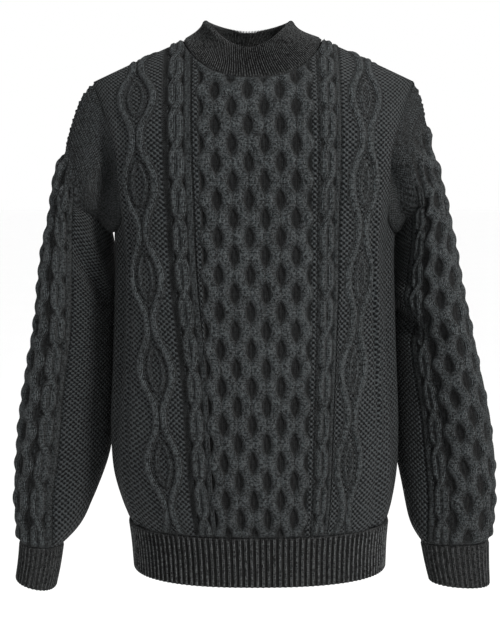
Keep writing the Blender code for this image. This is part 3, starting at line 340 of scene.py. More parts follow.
def smooth(xs, ys, at):
    """Read a table's column between its rows on a smooth curve."""
    slopes = np.gradient(ys, xs)
    spot = np.clip(np.searchsorted(xs, at) - 1, 0, len(xs) - 2)
    width = xs[spot + 1] - xs[spot]
    t = np.clip((at - xs[spot]) / width, 0.0, 1.0)
    start = (2 * t**3 - 3 * t**2 + 1) * ys[spot] + (t**3 - 2 * t**2 + t) * width * slopes[spot]
    end = (3 * t**2 - 2 * t**3) * ys[spot + 1] + (t**3 - t**2) * width * slopes[spot + 1]
    return start + end


def ease(t):
    """Rise softly from 0 to 1."""
    t = np.clip(t, 0.0, 1.0)
    return t * t * (3 - 2 * t)


def unit(vectors):
    """Scale vectors to length 1."""
    length = np.linalg.norm(vectors, axis=-1, keepdims=True)
    return vectors / np.maximum(length, 1e-9)


def lengths_along(points):
    """Return a line's length up to each of its points."""
    return np.concatenate([[0], np.cumsum(np.linalg.norm(np.diff(points, axis=0), axis=1))])


def read_line(at, arc, values):
    """Read a line's points, or directions at them, at lengths along it."""
    return np.stack([np.interp(at, arc, values[:, axis]) for axis in range(3)], axis=-1)


# Smooth forms, as in the part

def body_size(name, z):
    """Return one of the body's named sizes at a height."""
    return smooth(column(BODY_RINGS, BODY_NAMES, "z"), column(BODY_RINGS, BODY_NAMES, name), z)


def ridge_height(x):
    """Return the height of the shoulder ridge."""
    return RIDGE_PEAK - RIDGE_SLOPE * np.sqrt(x * x + RIDGE_ROUND**2)


def neck_height(x, facing):
    """Return the height of the neckline: the front's or the back's."""
    drop = NECK_DROP_FRONT if facing < 0 else NECK_DROP_BACK
    half = np.where(x < 0, NECK_LEFT, NECK_RIGHT)
    part = np.clip(np.abs(x) / half, 0.0, 1.0)
    return -drop * (1 - part**NECK_CURVE)**NECK_FULL


def underarm_height(u):
    """Return the height of the armhole's lower curve, between its narrowest place and the side seam."""
    part = np.clip((np.abs(u) - ARMHOLE_IN) / (HALF - ARMHOLE_IN), 0.0, 1.0)
    return ARMHOLE_NARROW + (UNDERARM - ARMHOLE_NARROW) * np.sqrt(1 - (1 - part)**2)


def armhole_wale(z):
    """Return how far from the middle the armhole's edge is above its narrowest place."""
    top = ridge_height(np.array(SHOULDER_POINT))
    part = np.clip((z - ARMHOLE_NARROW) / (top - ARMHOLE_NARROW), 0.0, 1.0)
    return ARMHOLE_IN + (ARMHOLE_POINT - ARMHOLE_IN) * part**ARMHOLE_CURVE


def folds(piece, u, v):
    """Sum the soft troughs and ridges of one piece."""
    total = np.zeros(np.broadcast(u, v).shape)
    for row in FOLDS:
        fold = dict(zip(FOLD_NAMES, row))
        if fold["piece"] != piece:
            continue
        angle = math.radians(fold["turn"])
        from_u = u - fold["u"]
        from_v = v - fold["v"]
        along = (from_u * math.cos(angle) + from_v * math.sin(angle)) / fold["long"]
        aside = (from_v * math.cos(angle) - from_u * math.sin(angle)) / fold["wide"]
        total = total + fold["rise"] * np.exp(-along**2 - aside**2)
    return total


class Ground:
    """A smooth surface under the knit, read by distance across (u) and distance up (v)."""

    def __init__(self, us, vs, points, piece):
        self.us = us
        self.vs = vs
        self.points = points
        self.piece = piece
        self.normals = unit(np.cross(np.gradient(points, axis=0), np.gradient(points, axis=1)))

    def read(self, grid, u, v):
        a = np.clip((u - self.us[0]) / (self.us[1] - self.us[0]), 0, len(self.us) - 1.001)
        b = np.clip((v - self.vs[0]) / (self.vs[1] - self.vs[0]), 0, len(self.vs) - 1.001)
        i = a.astype(int)
        j = b.astype(int)
        a = (a - i)[..., None]
        b = (b - j)[..., None]
        low = grid[i, j] * (1 - a) + grid[i + 1, j] * a
        high = grid[i, j + 1] * (1 - a) + grid[i + 1, j + 1] * a
        return low * (1 - b) + high * b

    def place(self, u, v):
        """Return points and outward directions."""
        u, v = np.broadcast_arrays(np.asarray(u, float), np.asarray(v, float))
        points = self.read(self.points, u, v)
        normals = unit(self.read(self.normals, u, v))
        return points + folds(self.piece, u, v)[..., None] * normals, normals


def body_row(z, facing):
    """Return the body's front or back half at one height, left to right: x, depth and length along."""
    theta = np.radians(np.linspace(-90, 90, CURVE_POINTS))
    half = np.where(theta < 0, body_size("left", z), body_size("right", z))
    x = half * np.sign(theta) * np.abs(np.sin(theta))**(2 / BODY_SQUARE)
    depth = body_size("front" if facing < 0 else "back", z) * np.cos(theta)**(2 / BODY_SQUARE)
    depth = np.maximum(depth, 0.0)
    arc = np.concatenate([[0], np.cumsum(np.hypot(np.diff(x), np.diff(depth)))])
    return x, depth, arc


def shoulder_share(x, z):
    """Return the share of the full depth that is reached below the shoulder ridge."""
    t = np.clip((ridge_height(x) - z) / SHOULDER_DEPTH, 0.0, 1.0)
    return (1 - (1 - t)**SHOULDER_CURVE)**SHOULDER_FULL


def panel_ground(facing, piece):
    """Work out the front's (facing -1) or back's (facing 1) smooth surface above the hem rib."""
    us = np.linspace(-HALF, HALF, GROUND_COLUMNS)
    low_levels = np.arange(RIB_TOP, CAP_START, LEVEL_STEP)
    levels = np.concatenate([low_levels, np.arange(CAP_START, CAP_END, CAP_LEVEL_STEP)])
    rows = []
    for z in levels:
        x, full, arc = body_row(z, facing)
        mid = np.interp(body_size("centre", z), x, arc)
        reach = np.where(us < 0, mid, arc[-1] - mid) / HALF
        across = np.interp(mid + us * reach, arc, x)
        depth = np.interp(mid + us * reach, arc, full) * shoulder_share(across, z)
        rows.append(np.stack([across, facing * depth, np.full_like(us, z)], axis=-1))
    rows = np.array(rows)
    rise = np.linalg.norm(np.diff(rows, axis=0), axis=-1)
    climb = np.concatenate([np.zeros((1, len(us))), np.cumsum(rise, axis=0)])
    vs = np.arange(0, climb.max() + SMOOTH_STEP, SMOOTH_STEP)
    points = np.empty((len(us), len(vs), 3))
    for i in range(len(us)):
        for axis in range(3):
            points[i, :, axis] = np.interp(vs, climb[:, i], rows[:, i, axis])
    if facing > 0:
        points = points[::-1]
    return Ground(us, vs, points, piece)


def panel_top(ground, facing, v_rows, line, under_arm):
    """Return the distance up at which a column line ends: ridge, neckline or armhole."""
    vs = np.arange(0.0, ground.vs[-1], EDGE_STEP)
    u = np.interp(vs, v_rows, line)
    points = ground.read(ground.points, u, vs)
    x = points[:, 0]
    beside = (x <= -NECK_LEFT) | (x >= NECK_RIGHT)
    limit = np.where(beside, ridge_height(x), neck_height(x, facing))
    if under_arm:
        limit = underarm_height(u)
    return vs[np.nonzero(points[:, 2] >= limit)[0][0]]


def armhole_edge(ground):
    """Return the armhole's upper edge: distances up the panel, and how far out it is there."""
    vs = np.arange(0.0, ground.vs[-1], ARM_STEP)
    u = np.full_like(vs, ARMHOLE_IN)
    for _ in range(4):
        u = armhole_wale(ground.read(ground.points, u, vs)[:, 2])
    return vs, u


# Knit

def rounded(distance, half):
    """Return a strand's round section: 1 on its middle line, 0 from its edges on."""
    return np.clip(1 - (distance / half)**2, 0, 1)**0.62


def band(q, low, high, soft=0.0012):
    """Return 1 between two places and 0 outside, with soft edges."""
    return ease((q - low) / soft + 0.5) * ease((high - q) / soft + 0.5)


class Knit:
    """The knitted relief being laid: rise over the ground, place in wales, and kind of stitch."""

    def __init__(self, q, v):
        self.q = q
        self.v = v
        self.rise = np.zeros_like(q)
        self.wale = q / STITCH
        self.moss = np.ones_like(q)
        self.purl = np.zeros_like(q)

    def ground(self, share, rise, moss=None, purl=None):
        """Set a plain area's height and stitch, by share."""
        self.rise = self.rise * (1 - share) + rise * share
        if moss is not None:
            self.moss = self.moss * (1 - share) + moss * share
        if purl is not None:
            self.purl = self.purl * (1 - share) + purl * share

    def strand(self, middle, half, foot, top, share=1.0):
        """Lay one strand of plain stitches where it is higher than what is there."""
        section = rounded(self.q - middle, half) * share
        height = foot + (top - foot) * section
        over = (section > 0.02) & (height > self.rise)
        self.rise = np.where(over, height, self.rise)
        self.wale = np.where(over, (self.q - middle) / STITCH + 0.5, self.wale)
        self.moss = np.where(over, 0.0, self.moss)
        self.purl = np.where(over, 0.0, self.purl)

    def cable(self, middle, rise):
        """Lay a rope of two strands that cross once in each repeat."""
        turn = self.v / PERIOD
        turn = turn - np.floor(turn)
        cross = ease((turn - 0.22) / 0.56)
        over = np.sin(math.pi * cross)
        swing = ROPE_HALF * 0.5 * (2 * cross - 1)
        self.ground(band(self.q, middle - ROPE_HALF, middle + ROPE_HALF), ROPE_FOOT, 0.0, 0.0)
        self.strand(middle - swing, ROPE_HALF * 0.56, ROPE_FOOT, rise * (1 - 0.62 * over))
        self.strand(middle + swing, ROPE_HALF * 0.56, ROPE_FOOT, rise * (1 + 0.10 * over))

    def honeycomb(self, half, ropes, start):
        """Lay ropes that swing apart and together."""
        pitch = 2 * half / ropes
        wave = np.cos(2 * math.pi * (self.v - start) / PERIOD)
        wave = wave * (1.22 - 0.22 * wave * wave)
        self.ground(band(self.q, -half, half), HONEY_FLOOR, 0.0, 0.0)
        group = np.floor((self.q + half) / pitch)
        inside = np.abs(self.q) < half
        self.wale = np.where(inside, (self.q + half - group * pitch) / STITCH, self.wale)
        for k in range(ropes):
            middle = -half + (k + 0.5) * pitch - HONEY_SWING * (1 if k % 2 == 0 else -1) * wave
            top = HONEY_RISE * (0.64 + 0.44 * np.clip(wave * wave, 0, 1))
            self.strand(middle, HONEY_WIDTH, HONEY_FLOOR, top)


def triangle_wave(t):
    """Go from 0 to 1 and back once for each unit of t, with rounded turns."""
    return 0.5 - 0.5 * np.cos(2 * math.pi * t) * (1.12 - 0.12 * np.cos(2 * math.pi * t)**2)


def panel_knit(q, v):
    """Lay the front's or back's pattern at places q from its middle line and distances v up."""
    knit = Knit(q, v)
    knit.ground(np.ones_like(q), MOSS_RISE)
    for side, sign in (("left", -1), ("right", 1)):
        size = dict(zip(SIDE_NAMES, SIDES[side]))
        out = q * sign
        here = np.where(out > 0, 1.0, 0.0)
        ditch = band(out, size["ditch"] + DITCH_IN, size["ditch"] + DITCH_OUT)
        knit.ground(here * band(out, size["knit_in"], size["knit_out"]), KNIT_RISE, 0.0, 0.0)
        knit.ground(here * band(out, size["ladder_in"], size["ladder_out"]), LADDER_FALL, 0.0, 1.0)
        knit.ground(here * ditch, DITCH_FALL, 0.0, 1.0)
        knit.cable(sign * size["rope"], ROPE_RISE)
        wave = triangle_wave((v - DIAMOND_CROSSING) / DIAMOND_PERIOD)
        reach = size["narrow"] + (size["reach"] - size["narrow"]) * wave
        beside = np.clip((np.abs(out - size["diamond"]) - reach) / DIAMOND_SOFT, 0, 1)
        near = band(out, size["diamond"] - DIAMOND_HALF, size["diamond"] + DIAMOND_HALF)
        knit.ground(here * near * (1 - beside), 0.0, 1.0, 0.0)
        for way in (-1, 1):
            line = sign * (size["diamond"] + way * reach)
            knit.strand(line, DIAMOND_ROPE, -0.0004, DIAMOND_RISE)
            loop = sign * size["diamond"] + np.clip(reach - LOOP_INSET, 0.0, None) * way
            knit.strand(loop, LOOP_HALF, 0.0, LOOP_RISE, ease((wave - 0.5) / 0.15))
    knit.honeycomb(HONEY_HALF, HONEY_ROPES, HOLE_ROW)
    return knit


def across(q, v):
    """Turn a pattern place into a distance across the ground: the hem draws the pattern in."""
    drawn = DRAWN_IN * ease((DRAWN_FROM - v) / DRAWN_OVER)
    free = 1 - ease((np.abs(q) - DRAWN_MIDDLE) / (HALF - DRAWN_MIDDLE))
    left = 0.010 * ease((DRAWN_FROM - v) / 0.20) * ease((-q - 0.066) / 0.012)
    right = -0.006 * ease((0.33 - v) / 0.12) * ease((q - 0.100) / 0.012)
    return q * (1 - drawn * free) + (left + right) * free


# Closed walls

def fine_faces(tops, rows, strips=None):
    """List the fine grid's faces as keys (column * rows + row). Columns end at their tops."""
    faces = []
    for a in range(len(tops) - 1):
        b = a + 1
        limit = (strips or {}).get(a, rows)
        end_a = min(tops[a], limit)
        end_b = min(tops[b], limit)
        low = min(end_a, end_b)
        ka = a * rows
        kb = b * rows
        faces += [(kb + r, kb + r + 1, ka + r + 1, ka + r) for r in range(low)]
        faces += [(ka + r, kb + low, ka + r + 1) for r in range(low, end_a)]
        faces += [(kb + r, kb + r + 1, ka + low) for r in range(low, end_b)]
    return faces


def plain_faces(columns, listed, tops, rows, strips=None):
    """List a coarser grid's faces on some of the same columns and rows.

    Columns end at their tops, and a strip may end lower. Where one side has more rows, its faces
    take them in.
    """
    faces = []
    for a, b in zip(columns, columns[1:]):
        limit = (strips or {}).get(a, rows)
        ends = [min(tops[a], limit), min(tops[b], limit)]
        low_end = min(ends)
        used = [[row for row in listed if row < end] + [end] for end in ends]
        shared = [row for row in listed if row < low_end] + [low_end]
        for low, high in zip(shared, shared[1:]):
            climb = [low, high] if high in used[0] else [low]
            fall = [low, high] if high in used[1] else [low]
            faces.append([b * rows + row for row in fall] + [a * rows + row for row in reversed(climb)])
        short, tall = (0, 1) if ends[0] < ends[1] else (1, 0)
        corner = (a, b)[short] * rows + ends[short]
        above = [row for row in used[tall] if row > ends[short]]
        below = max(row for row in used[tall] if row <= ends[short])
        for low, high in zip([below] + above, above):
            keys = [(a, b)[tall] * rows + low, corner, (a, b)[tall] * rows + high]
            faces.append(keys if tall == 0 else keys[::-1])
    return faces


def loops(faces, vertex):
    """Return the open edges of faces as closed rings of keys."""
    edges = {}
    for face in faces:
        for i in range(len(face)):
            edges[vertex(face[i - 1]), vertex(face[i])] = (face[i - 1], face[i])
    nexts = {}
    for (a, b), keys in edges.items():
        if (b, a) not in edges:
            nexts[a] = (b, keys)
    found = []
    while nexts:
        here = next(iter(nexts))
        ring = []
        while here in nexts:
            there, keys = nexts.pop(here)
            ring.append((here, keys[0]))
            here = there
        found.append(ring)
    return found


def rim_faces(fine, plain, vertex):
    """Join the fine outer edges to the plain inner edges. Corners are (key, is it inside)."""
    rim = []
    fine_rings = loops(fine, vertex)
    for coarse in loops(plain, vertex):
        ring = next(r for r in fine_rings if coarse[0][0] in {here for here, _ in r})
        places = {here: n for n, (here, _) in enumerate(ring)}
        start = places[coarse[0][0]]
        ring = ring[start:] + ring[:start]
        places = {here: n for n, (here, _) in enumerate(ring)}
        stops = [places[here] for here, _ in coarse] + [len(ring)]
        keys = [key for _, key in ring] + [ring[0][1]]
        for n, (_, key) in enumerate(coarse):
            path = keys[stops[n]:stops[n + 1] + 1]
            after = coarse[(n + 1) % len(coarse)][1]
            turn = (len(path) - 1) // 2
            for step in range(len(path) - 1):
                ahead = (path[step + 1], False)
                behind = (path[step], False)
                if step == turn:
                    rim.append([ahead, behind, (key, True), (after, True)])
                else:
                    rim.append([ahead, behind, (key if step < turn else after, True)])
    return rim


def build(name, grid, fine, plain, closed=False):
    """Make a closed wall from a grid's outer and inner points and its knit, all read by key."""
    columns, rows = grid["outer"].shape[:2]
    around = columns - 1 if closed else columns

    def vertex(key):
        return key // rows % around * rows + key % rows

    corners = [[(key, False) for key in face] for face in fine]
    corners += [[(key, True) for key in reversed(face)] for face in plain]
    corners += rim_faces(fine, plain, vertex)
    count = columns * rows
    made = {}
    faces = []
    keys = []
    for face in corners:
        numbers = []
        for key, inside in face:
            here = vertex(key) + (count if inside else 0)
            numbers.append(made.setdefault(here, len(made)))
        if len(set(numbers)) == len(numbers):
            faces.append(numbers)
            keys += [key for key, _ in face]
    order = np.array(list(made))
    inside = order >= count
    spots = order - np.where(inside, count, 0)
    flat = {part: values.reshape(count, -1) for part, values in grid.items()}
    points = np.where(inside[:, None], flat["inner"][spots], flat["outer"][spots])
    mesh = bpy.data.meshes.new(name)
    mesh.from_pydata(points.tolist(), [], faces)
    corner_points = points[np.array([n for face in faces for n in face[:3]])].reshape(-1, 3, 3)
    spans = np.cross(corner_points[:, 1], corner_points[:, 2])
    volume = np.einsum("ij,ij->i", corner_points[:, 0], spans).sum()
    stitch = mesh.uv_layers.new(name="stitch")
    stitch.data.foreach_set("uv", flat["stitch"][np.array(keys)].ravel())
    for part in ("moss", "purl", "rise"):
        values = np.where(inside, 0.0, flat[part][spots, 0])
        mesh.attributes.new(part, "FLOAT", "POINT").data.foreach_set("value", values)
    if volume < 0:
        mesh.flip_normals()
    mesh.polygons.foreach_set("use_smooth", [True] * len(mesh.polygons))
    mesh.update()
    piece = bpy.data.objects.new(name, mesh)
    bpy.context.scene.collection.objects.link(piece)
    return piece


# Pieces

def make_panel(piece, facing):
    """Build the front or back. Return its object and the edges that other pieces are sewn to."""
    ground = panel_ground(facing, piece)
    v_rows = np.arange(0, int(LONGEST / FINE_UP)) * FINE_UP
    rows = len(v_rows)
    arm_v, arm_u = armhole_edge(ground)
    edge = np.interp(v_rows, arm_v, arm_u)
    middle = np.linspace(-FAN_START, FAN_START, int(2 * FAN_START / FINE_ACROSS) + 1)
    fan = np.arange(1, FAN_COLUMNS + 1) / FAN_COLUMNS
    side = ARMHOLE_IN + (HALF - ARMHOLE_IN) * np.arange(1, SIDE_COLUMNS + 1) / SIDE_COLUMNS
    right = [FAN_START + (edge - FAN_START) * share for share in fan]
    right += [np.full(rows, place) for place in side]
    lines = [-line for line in reversed(right)] + [np.full(rows, place) for place in middle] + right
    q = np.array(lines)
    u = across(q, v_rows[None, :])
    columns = len(lines)
    edges = (SIDE_COLUMNS, columns - 1 - SIDE_COLUMNS)
    top_v = np.array([panel_top(ground, facing, v_rows, u[i], not edges[0] <= i <= edges[1])
                      for i in range(columns)])
    tops = np.maximum(np.round(top_v / FINE_UP).astype(int), 1)
    beside_arm = np.full(rows, ARMHOLE_IN + ARM_CLEAR)
    narrow = int(round(panel_top(ground, facing, v_rows, beside_arm, True) / FINE_UP))
    strips = {edges[0] - 1: narrow, edges[1]: narrow}
    v = np.broadcast_to(v_rows, q.shape).copy()
    for i in range(columns):
        q[i, tops[i]:] = np.interp(top_v[i], v_rows, lines[i])
        u[i, tops[i]:] = np.interp(top_v[i], v_rows, u[i].copy())
        v[i, tops[i]:] = top_v[i]
    points, normals = ground.place(u, v)
    knit = panel_knit(q, v)
    at_top = np.arange(rows)[None, :] >= tops[:, None]
    on_side = np.zeros_like(at_top)
    on_side[[0, -1]] = True
    on_ridge = at_top & ~on_side & (np.abs(points[..., 1]) < NEAR_RIDGE)
    points[..., 2] = np.where(on_ridge, ridge_height(points[..., 0]), points[..., 2])
    slope = RIDGE_SLOPE * points[..., 0] / np.hypot(points[..., 0], RIDGE_ROUND)
    roof = np.stack([slope, np.zeros_like(slope), np.ones_like(slope)], axis=-1)
    normals = np.where(on_ridge[..., None], roof, normals)
    on_seam = on_ridge | on_side
    normals[..., 1] = np.where(on_seam, 0.0, normals[..., 1])
    normals = unit(normals)
    points[..., 1] = np.where(on_seam, facing * SEAM_HALF_GAP, points[..., 1])
    from_top = ease((top_v[:, None] - v) / SEAM_FADE)
    from_side = ease((HALF - np.abs(u)) / SEAM_FADE)
    beside = np.abs(np.arange(columns)[:, None] - np.array(edges)[None, :]).min(axis=1)
    above = np.arange(rows)[None, :] >= narrow
    inner_side = (np.arange(columns) >= edges[0]) & (np.arange(columns) <= edges[1])
    from_arm = np.where(above & inner_side[:, None], ease(beside / 5.0)[:, None], 1.0)
    fade = from_top * from_side * from_arm * ease(v / SEAM_FADE)
    edge_in = np.zeros_like(q)
    for col in edges:
        edge_in[col] = np.where(np.arange(rows) >= narrow, RIM_BEVEL, 0.0)
    in_u = u - np.sign(u) * edge_in
    in_v = v - np.where(at_top, RIM_BEVEL, 0.0)
    inner_points = np.where(on_seam[..., None], points, ground.place(in_u, in_v)[0])
    grid = {
        "outer": points + normals * (knit.rise * fade)[..., None],
        "inner": inner_points - normals * WALL,
        "stitch": np.stack([knit.wale, v / COURSE], axis=-1),
        "moss": knit.moss,
        "purl": knit.purl,
        "rise": knit.rise * fade,
    }
    fine = fine_faces(tops, rows, strips)
    ends = {0, columns - 1, *edges, edges[0] - 1, edges[1] + 1}
    plain_columns = sorted(set(range(0, columns, PLAIN_EVERY)) | ends)
    plain_rows = sorted(set(range(0, rows, PLAIN_EVERY)) | {narrow})
    plain = plain_faces(plain_columns, plain_rows, tops, rows, strips)
    made = build(piece, grid, fine, plain)
    outer = grid["outer"]
    inner = grid["inner"]
    open_columns = [c for c in range(edges[0] + 1, edges[1]) if abs(outer[c, tops[c], 1]) > NEAR_RIDGE]
    necks = range(open_columns[0] - 1, open_columns[-1] + 2)
    neck = [(outer[c, tops[c]], inner[c, tops[c]]) for c in necks]
    arms = {}
    for col, last, step in ((edges[0], 0, -1), (edges[1], columns - 1, 1)):
        keys = [(col, row) for row in range(tops[col], narrow - 1, -1)]
        inward = [(col - step * 2, row) for row in range(tops[col], narrow - 1, -1)]
        outwards = range(col + step, last + step, step)
        keys += [(c, tops[c]) for c in outwards]
        inward += [(c, max(tops[c] - 2, 0)) for c in outwards]
        arms[step * -facing] = [(outer[k], inner[k], outer[n]) for k, n in zip(keys, inward)]
    return made, neck, arms


def armhole_curve(front_arm, back_arm):
    """Join the panels' armhole edges into one ring: shoulder point, front, underarm, back."""
    ring = []
    listed = front_arm + back_arm[-2:0:-1]
    for n, (outer, inner, inward) in enumerate(listed):
        ahead = listed[(n + 3) % len(listed)][0]
        behind = listed[n - 3][0]
        normal = unit(outer - inner)
        away = unit(np.cross(normal, ahead - behind))
        if np.dot(away, outer - inward) < 0:
            away = -away
        point = np.array(outer)
        if n in (0, len(front_arm) - 1):
            point[1] = 0.0
            normal[1] = 0.0
            away[1] = 0.0
            normal = unit(normal)
            away = unit(away)
        ring.append((point + away * ARMHOLE_GAP, normal, away))
    return [np.array(part) for part in zip(*ring)]


def table_ring(table, k, phi, side):
    """Return a tube ring's points at angles phi, for a place k between the table's rows."""
    rows = np.arange(len(table), dtype=float)
    place = np.array(float(k))
    size = {name: smooth(rows, column(table, SLEEVE_NAMES, name), place) for name in SLEEVE_NAMES}
    mid = np.array([(size["out_x"] + size["in_x"]) / 2, 0.0, (size["out_z"] + size["in_z"]) / 2])
    half = np.array([(size["out_x"] - size["in_x"]) / 2, 0.0, (size["out_z"] - size["in_z"]) / 2])
    power = 2 / TUBE_SQUARE
    around = np.sign(np.cos(phi)) * np.abs(np.cos(phi))**power
    along = np.abs(np.sin(phi))**power
    y = np.where(np.sin(phi) > 0, -size["front"] * along, size["back"] * along)
    points = mid + around[:, None] * half
    set_back = size["set_back"] * ease((1 - around) / 2)
    points[:, 1] = y + set_back
    points[:, 0] *= side
    return points


def even_ring(points, shares, values=None):
    """Return points, or values at them, at shares of a closed ring's length from its first point."""
    closed = np.vstack([points, points[:1]])
    arc = lengths_along(closed)
    read = closed if values is None else np.vstack([values, values[:1]])
    return read_line(np.mod(shares, 1.0) * arc[-1], arc, read)


def sleeve_ground(table, side, arm_points):
    """Work out a sleeve's smooth surface by share around (from the outside, to the front) and down."""
    phi = np.linspace(0, 2 * math.pi, CURVE_POINTS)[:-1]
    shares = np.linspace(0, 1, SLEEVE_GROUND_SHARES)
    hole = even_ring(arm_points, shares)
    first = even_ring(table_ring(table, 0, phi, side), shares)
    places = np.linspace(0, len(table) - 1, SLEEVE_GROUND_RINGS)
    rings = []
    for k in places:
        ring = even_ring(table_ring(table, k, phi, side), shares)
        weight = 1 - ease(np.array(k / ARMHOLE_BLEND))
        rings.append(ring + (hole - first) * weight)
    rings = np.array(rings)
    pinch_row = np.exp(-((places - PINCH_PLACE) / PINCH_REACH)**2)
    pinch_share = ease(1 - np.abs(shares - 0.5) / PINCH_SHARE)
    rings[:, :, 1] *= 1 - PINCH * pinch_row[:, None] * pinch_share[None, :]
    return lengths_along(rings[:, 0]), rings


def read_rings(grid, place, share):
    """Read a ring table between its rows and shares."""
    a = np.clip(place, 0, len(grid) - 1.001)
    b = np.mod(share, 1.0) * (grid.shape[1] - 1)
    i = a.astype(int)
    j = np.minimum(b.astype(int), grid.shape[1] - 2)
    a = (a - i)[..., None]
    b = (b - j)[..., None]
    low = grid[i, j] * (1 - b) + grid[i, j + 1] * b
    high = grid[i + 1, j] * (1 - b) + grid[i + 1, j + 1] * b
    return low * (1 - a) + high * a


def sleeve_knit(q, v, start):
    """Lay a sleeve's pattern at distances q round it from its cables' middle, and v down it.

    The cables begin at a distance down; above it lie plain ridges across.
    """
    knit = Knit(q, v)
    knit.ground(np.ones_like(q), MOSS_RISE)
    out = np.abs(q)
    knit.ground(band(out, *SLEEVE_KNIT), KNIT_RISE, 0.0, 0.0)
    knit.ground(band(out, *SLEEVE_LADDER), LADDER_FALL, 0.0, 1.0)
    knit.ground(band(out, *SLEEVE_DITCH), ROPE_FOOT, 0.0, 1.0)
    for side in (-1, 1):
        knit.cable(side * SLEEVE_ROPE, ROPE_RISE * SLEEVE_ROPE_SHARE)
    knit.honeycomb(SLEEVE_HONEY_HALF, SLEEVE_HONEY_ROPES, 0.0)
    ridges = CAP_RIDGE * np.cos(2 * math.pi * v / CAP_RIDGE_STEP)
    knit.ground(1 - ease((v - start) / CABLE_START_SOFT), CAP_RISE + ridges, 0.0, 1.0)
    return knit


def make_sleeve(piece, side, table, turns, arm):
    """Build a sleeve from the armhole's points down to the cuff."""
    arm_points, arm_normals, arm_away = arm
    drop, rings = sleeve_ground(table, side, arm_points)
    length = drop[-1]
    rows = int(length / FINE_UP) + 1
    down = np.linspace(0, length, rows)
    ring_lengths = np.linalg.norm(np.diff(rings, axis=1), axis=-1).sum(axis=1)
    place = np.interp(down, drop, np.arange(len(drop)))
    around = np.interp(down, drop, ring_lengths)
    degrees = np.interp(down, column(turns, TURN_NAMES, "down"), column(turns, TURN_NAMES, "turn"))
    middle = degrees / 360
    part = np.linspace(-0.5, 0.5, SLEEVE_COLUMNS + 1)
    share = middle[None, :] + part[:, None]
    q = part[:, None] * around[None, :]
    v = np.broadcast_to(down, q.shape)
    step_around = np.gradient(rings, axis=1)
    step_around[:, 0] = step_around[:, -1] = (step_around[:, 0] + step_around[:, -1]) / 2
    normals = unit(np.cross(step_around, np.gradient(rings, axis=0))) * side
    places = np.broadcast_to(place, q.shape)
    points = read_rings(rings, places, share)
    out = unit(read_rings(normals, places, share))
    top_share = np.mod(share[:, 0], 1.0)
    points[:, 0] = even_ring(arm_points, top_share)
    out[:, 0] = unit(even_ring(arm_points, top_share, arm_normals))
    blend = ease(v / 0.012)[..., None]
    out = unit(out * blend + out[:, :1] * (1 - blend))
    knit = sleeve_knit(q, v, CABLE_STARTS[piece])
    fade = ease(np.minimum(v, length - v) / SEAM_FADE)
    from_outside = (np.mod(share + 0.5, 1.0) - 0.5) * around[None, :]
    bend = folds(piece, from_outside, length - v) * fade
    inner = points + out * (bend - WALL)[..., None]
    inner[:, 0] += even_ring(arm_points, top_share, arm_away) * RIM_BEVEL
    grid = {
        "outer": points + out * (knit.rise * fade + bend)[..., None],
        "inner": inner,
        "stitch": np.stack([knit.wale, -v / COURSE], axis=-1),
        "moss": knit.moss,
        "purl": knit.purl,
        "rise": knit.rise * fade,
    }
    tops = np.full(SLEEVE_COLUMNS + 1, rows - 1)
    fine = fine_faces(tops, rows)
    plain_columns = list(range(0, SLEEVE_COLUMNS + 1, PLAIN_EVERY))
    plain = plain_faces(plain_columns, list(range(0, rows, PLAIN_EVERY)), tops, rows)
    return build(piece, grid, fine, plain, closed=True)


def rib_wave(turn):
    """Return a rib's section for a place counted in ribs: 1 on a rib, -1 between two."""
    wave = np.cos(2 * math.pi * turn)
    return np.sign(wave) * np.abs(wave)**0.7


def make_rib(piece, ring_at, ribs, rise, length, closed, contrast):
    """Build a ribbed wall. ring_at gives points and outward directions at a share of its length."""
    columns = ribs * RIB_SAMPLES + 1
    rows = max(int(length / FINE_UP), 6) + 1
    shares = np.linspace(0, 1, rows)
    turn = np.arange(columns) / RIB_SAMPLES + (0.0 if closed else 0.25)
    layers = [ring_at(share, columns) for share in shares]
    points = np.stack([layer[0] for layer in layers], axis=1)
    out = np.stack([layer[1] for layer in layers], axis=1)
    far = (1 - shares) * length
    full = ease(shares * length / 0.004)
    if not closed:
        side = ease(np.minimum(np.arange(columns), columns - 1 - np.arange(columns)) / RIB_SAMPLES)
        full = full[None, :] * side[:, None]
    wave = rib_wave(turn)[:, None] * rise * full
    roll = np.clip(1 - far / RIB_ROUND, 0, 1)
    sink = WALL * 0.45 * (1 - np.sqrt(np.clip(1 - roll**2, 0, 1)))
    rise_at = wave - sink[None, :]
    inner = points - out * (WALL - sink[None, :] * 0.8)[..., None]
    course = np.broadcast_to(shares * length / COURSE, rise_at.shape)
    grid = {
        "outer": points + out * rise_at[..., None],
        "inner": inner,
        "stitch": np.stack([np.broadcast_to(turn[:, None] * 2 + 0.5, rise_at.shape), course], axis=-1),
        "moss": np.zeros_like(rise_at),
        "purl": np.broadcast_to((rib_wave(turn)[:, None] < -0.2) * 0.5, rise_at.shape).copy(),
        "rise": rise_at * contrast,
    }
    tops = np.full(columns, rows - 1)
    fine = fine_faces(tops, rows)
    listed = sorted(set(range(0, rows, PLAIN_EVERY)) | {rows - 1})
    plain = plain_faces(list(range(0, columns, RIB_SAMPLES)), listed, tops, rows)
    return build(piece, grid, fine, plain, closed=closed)


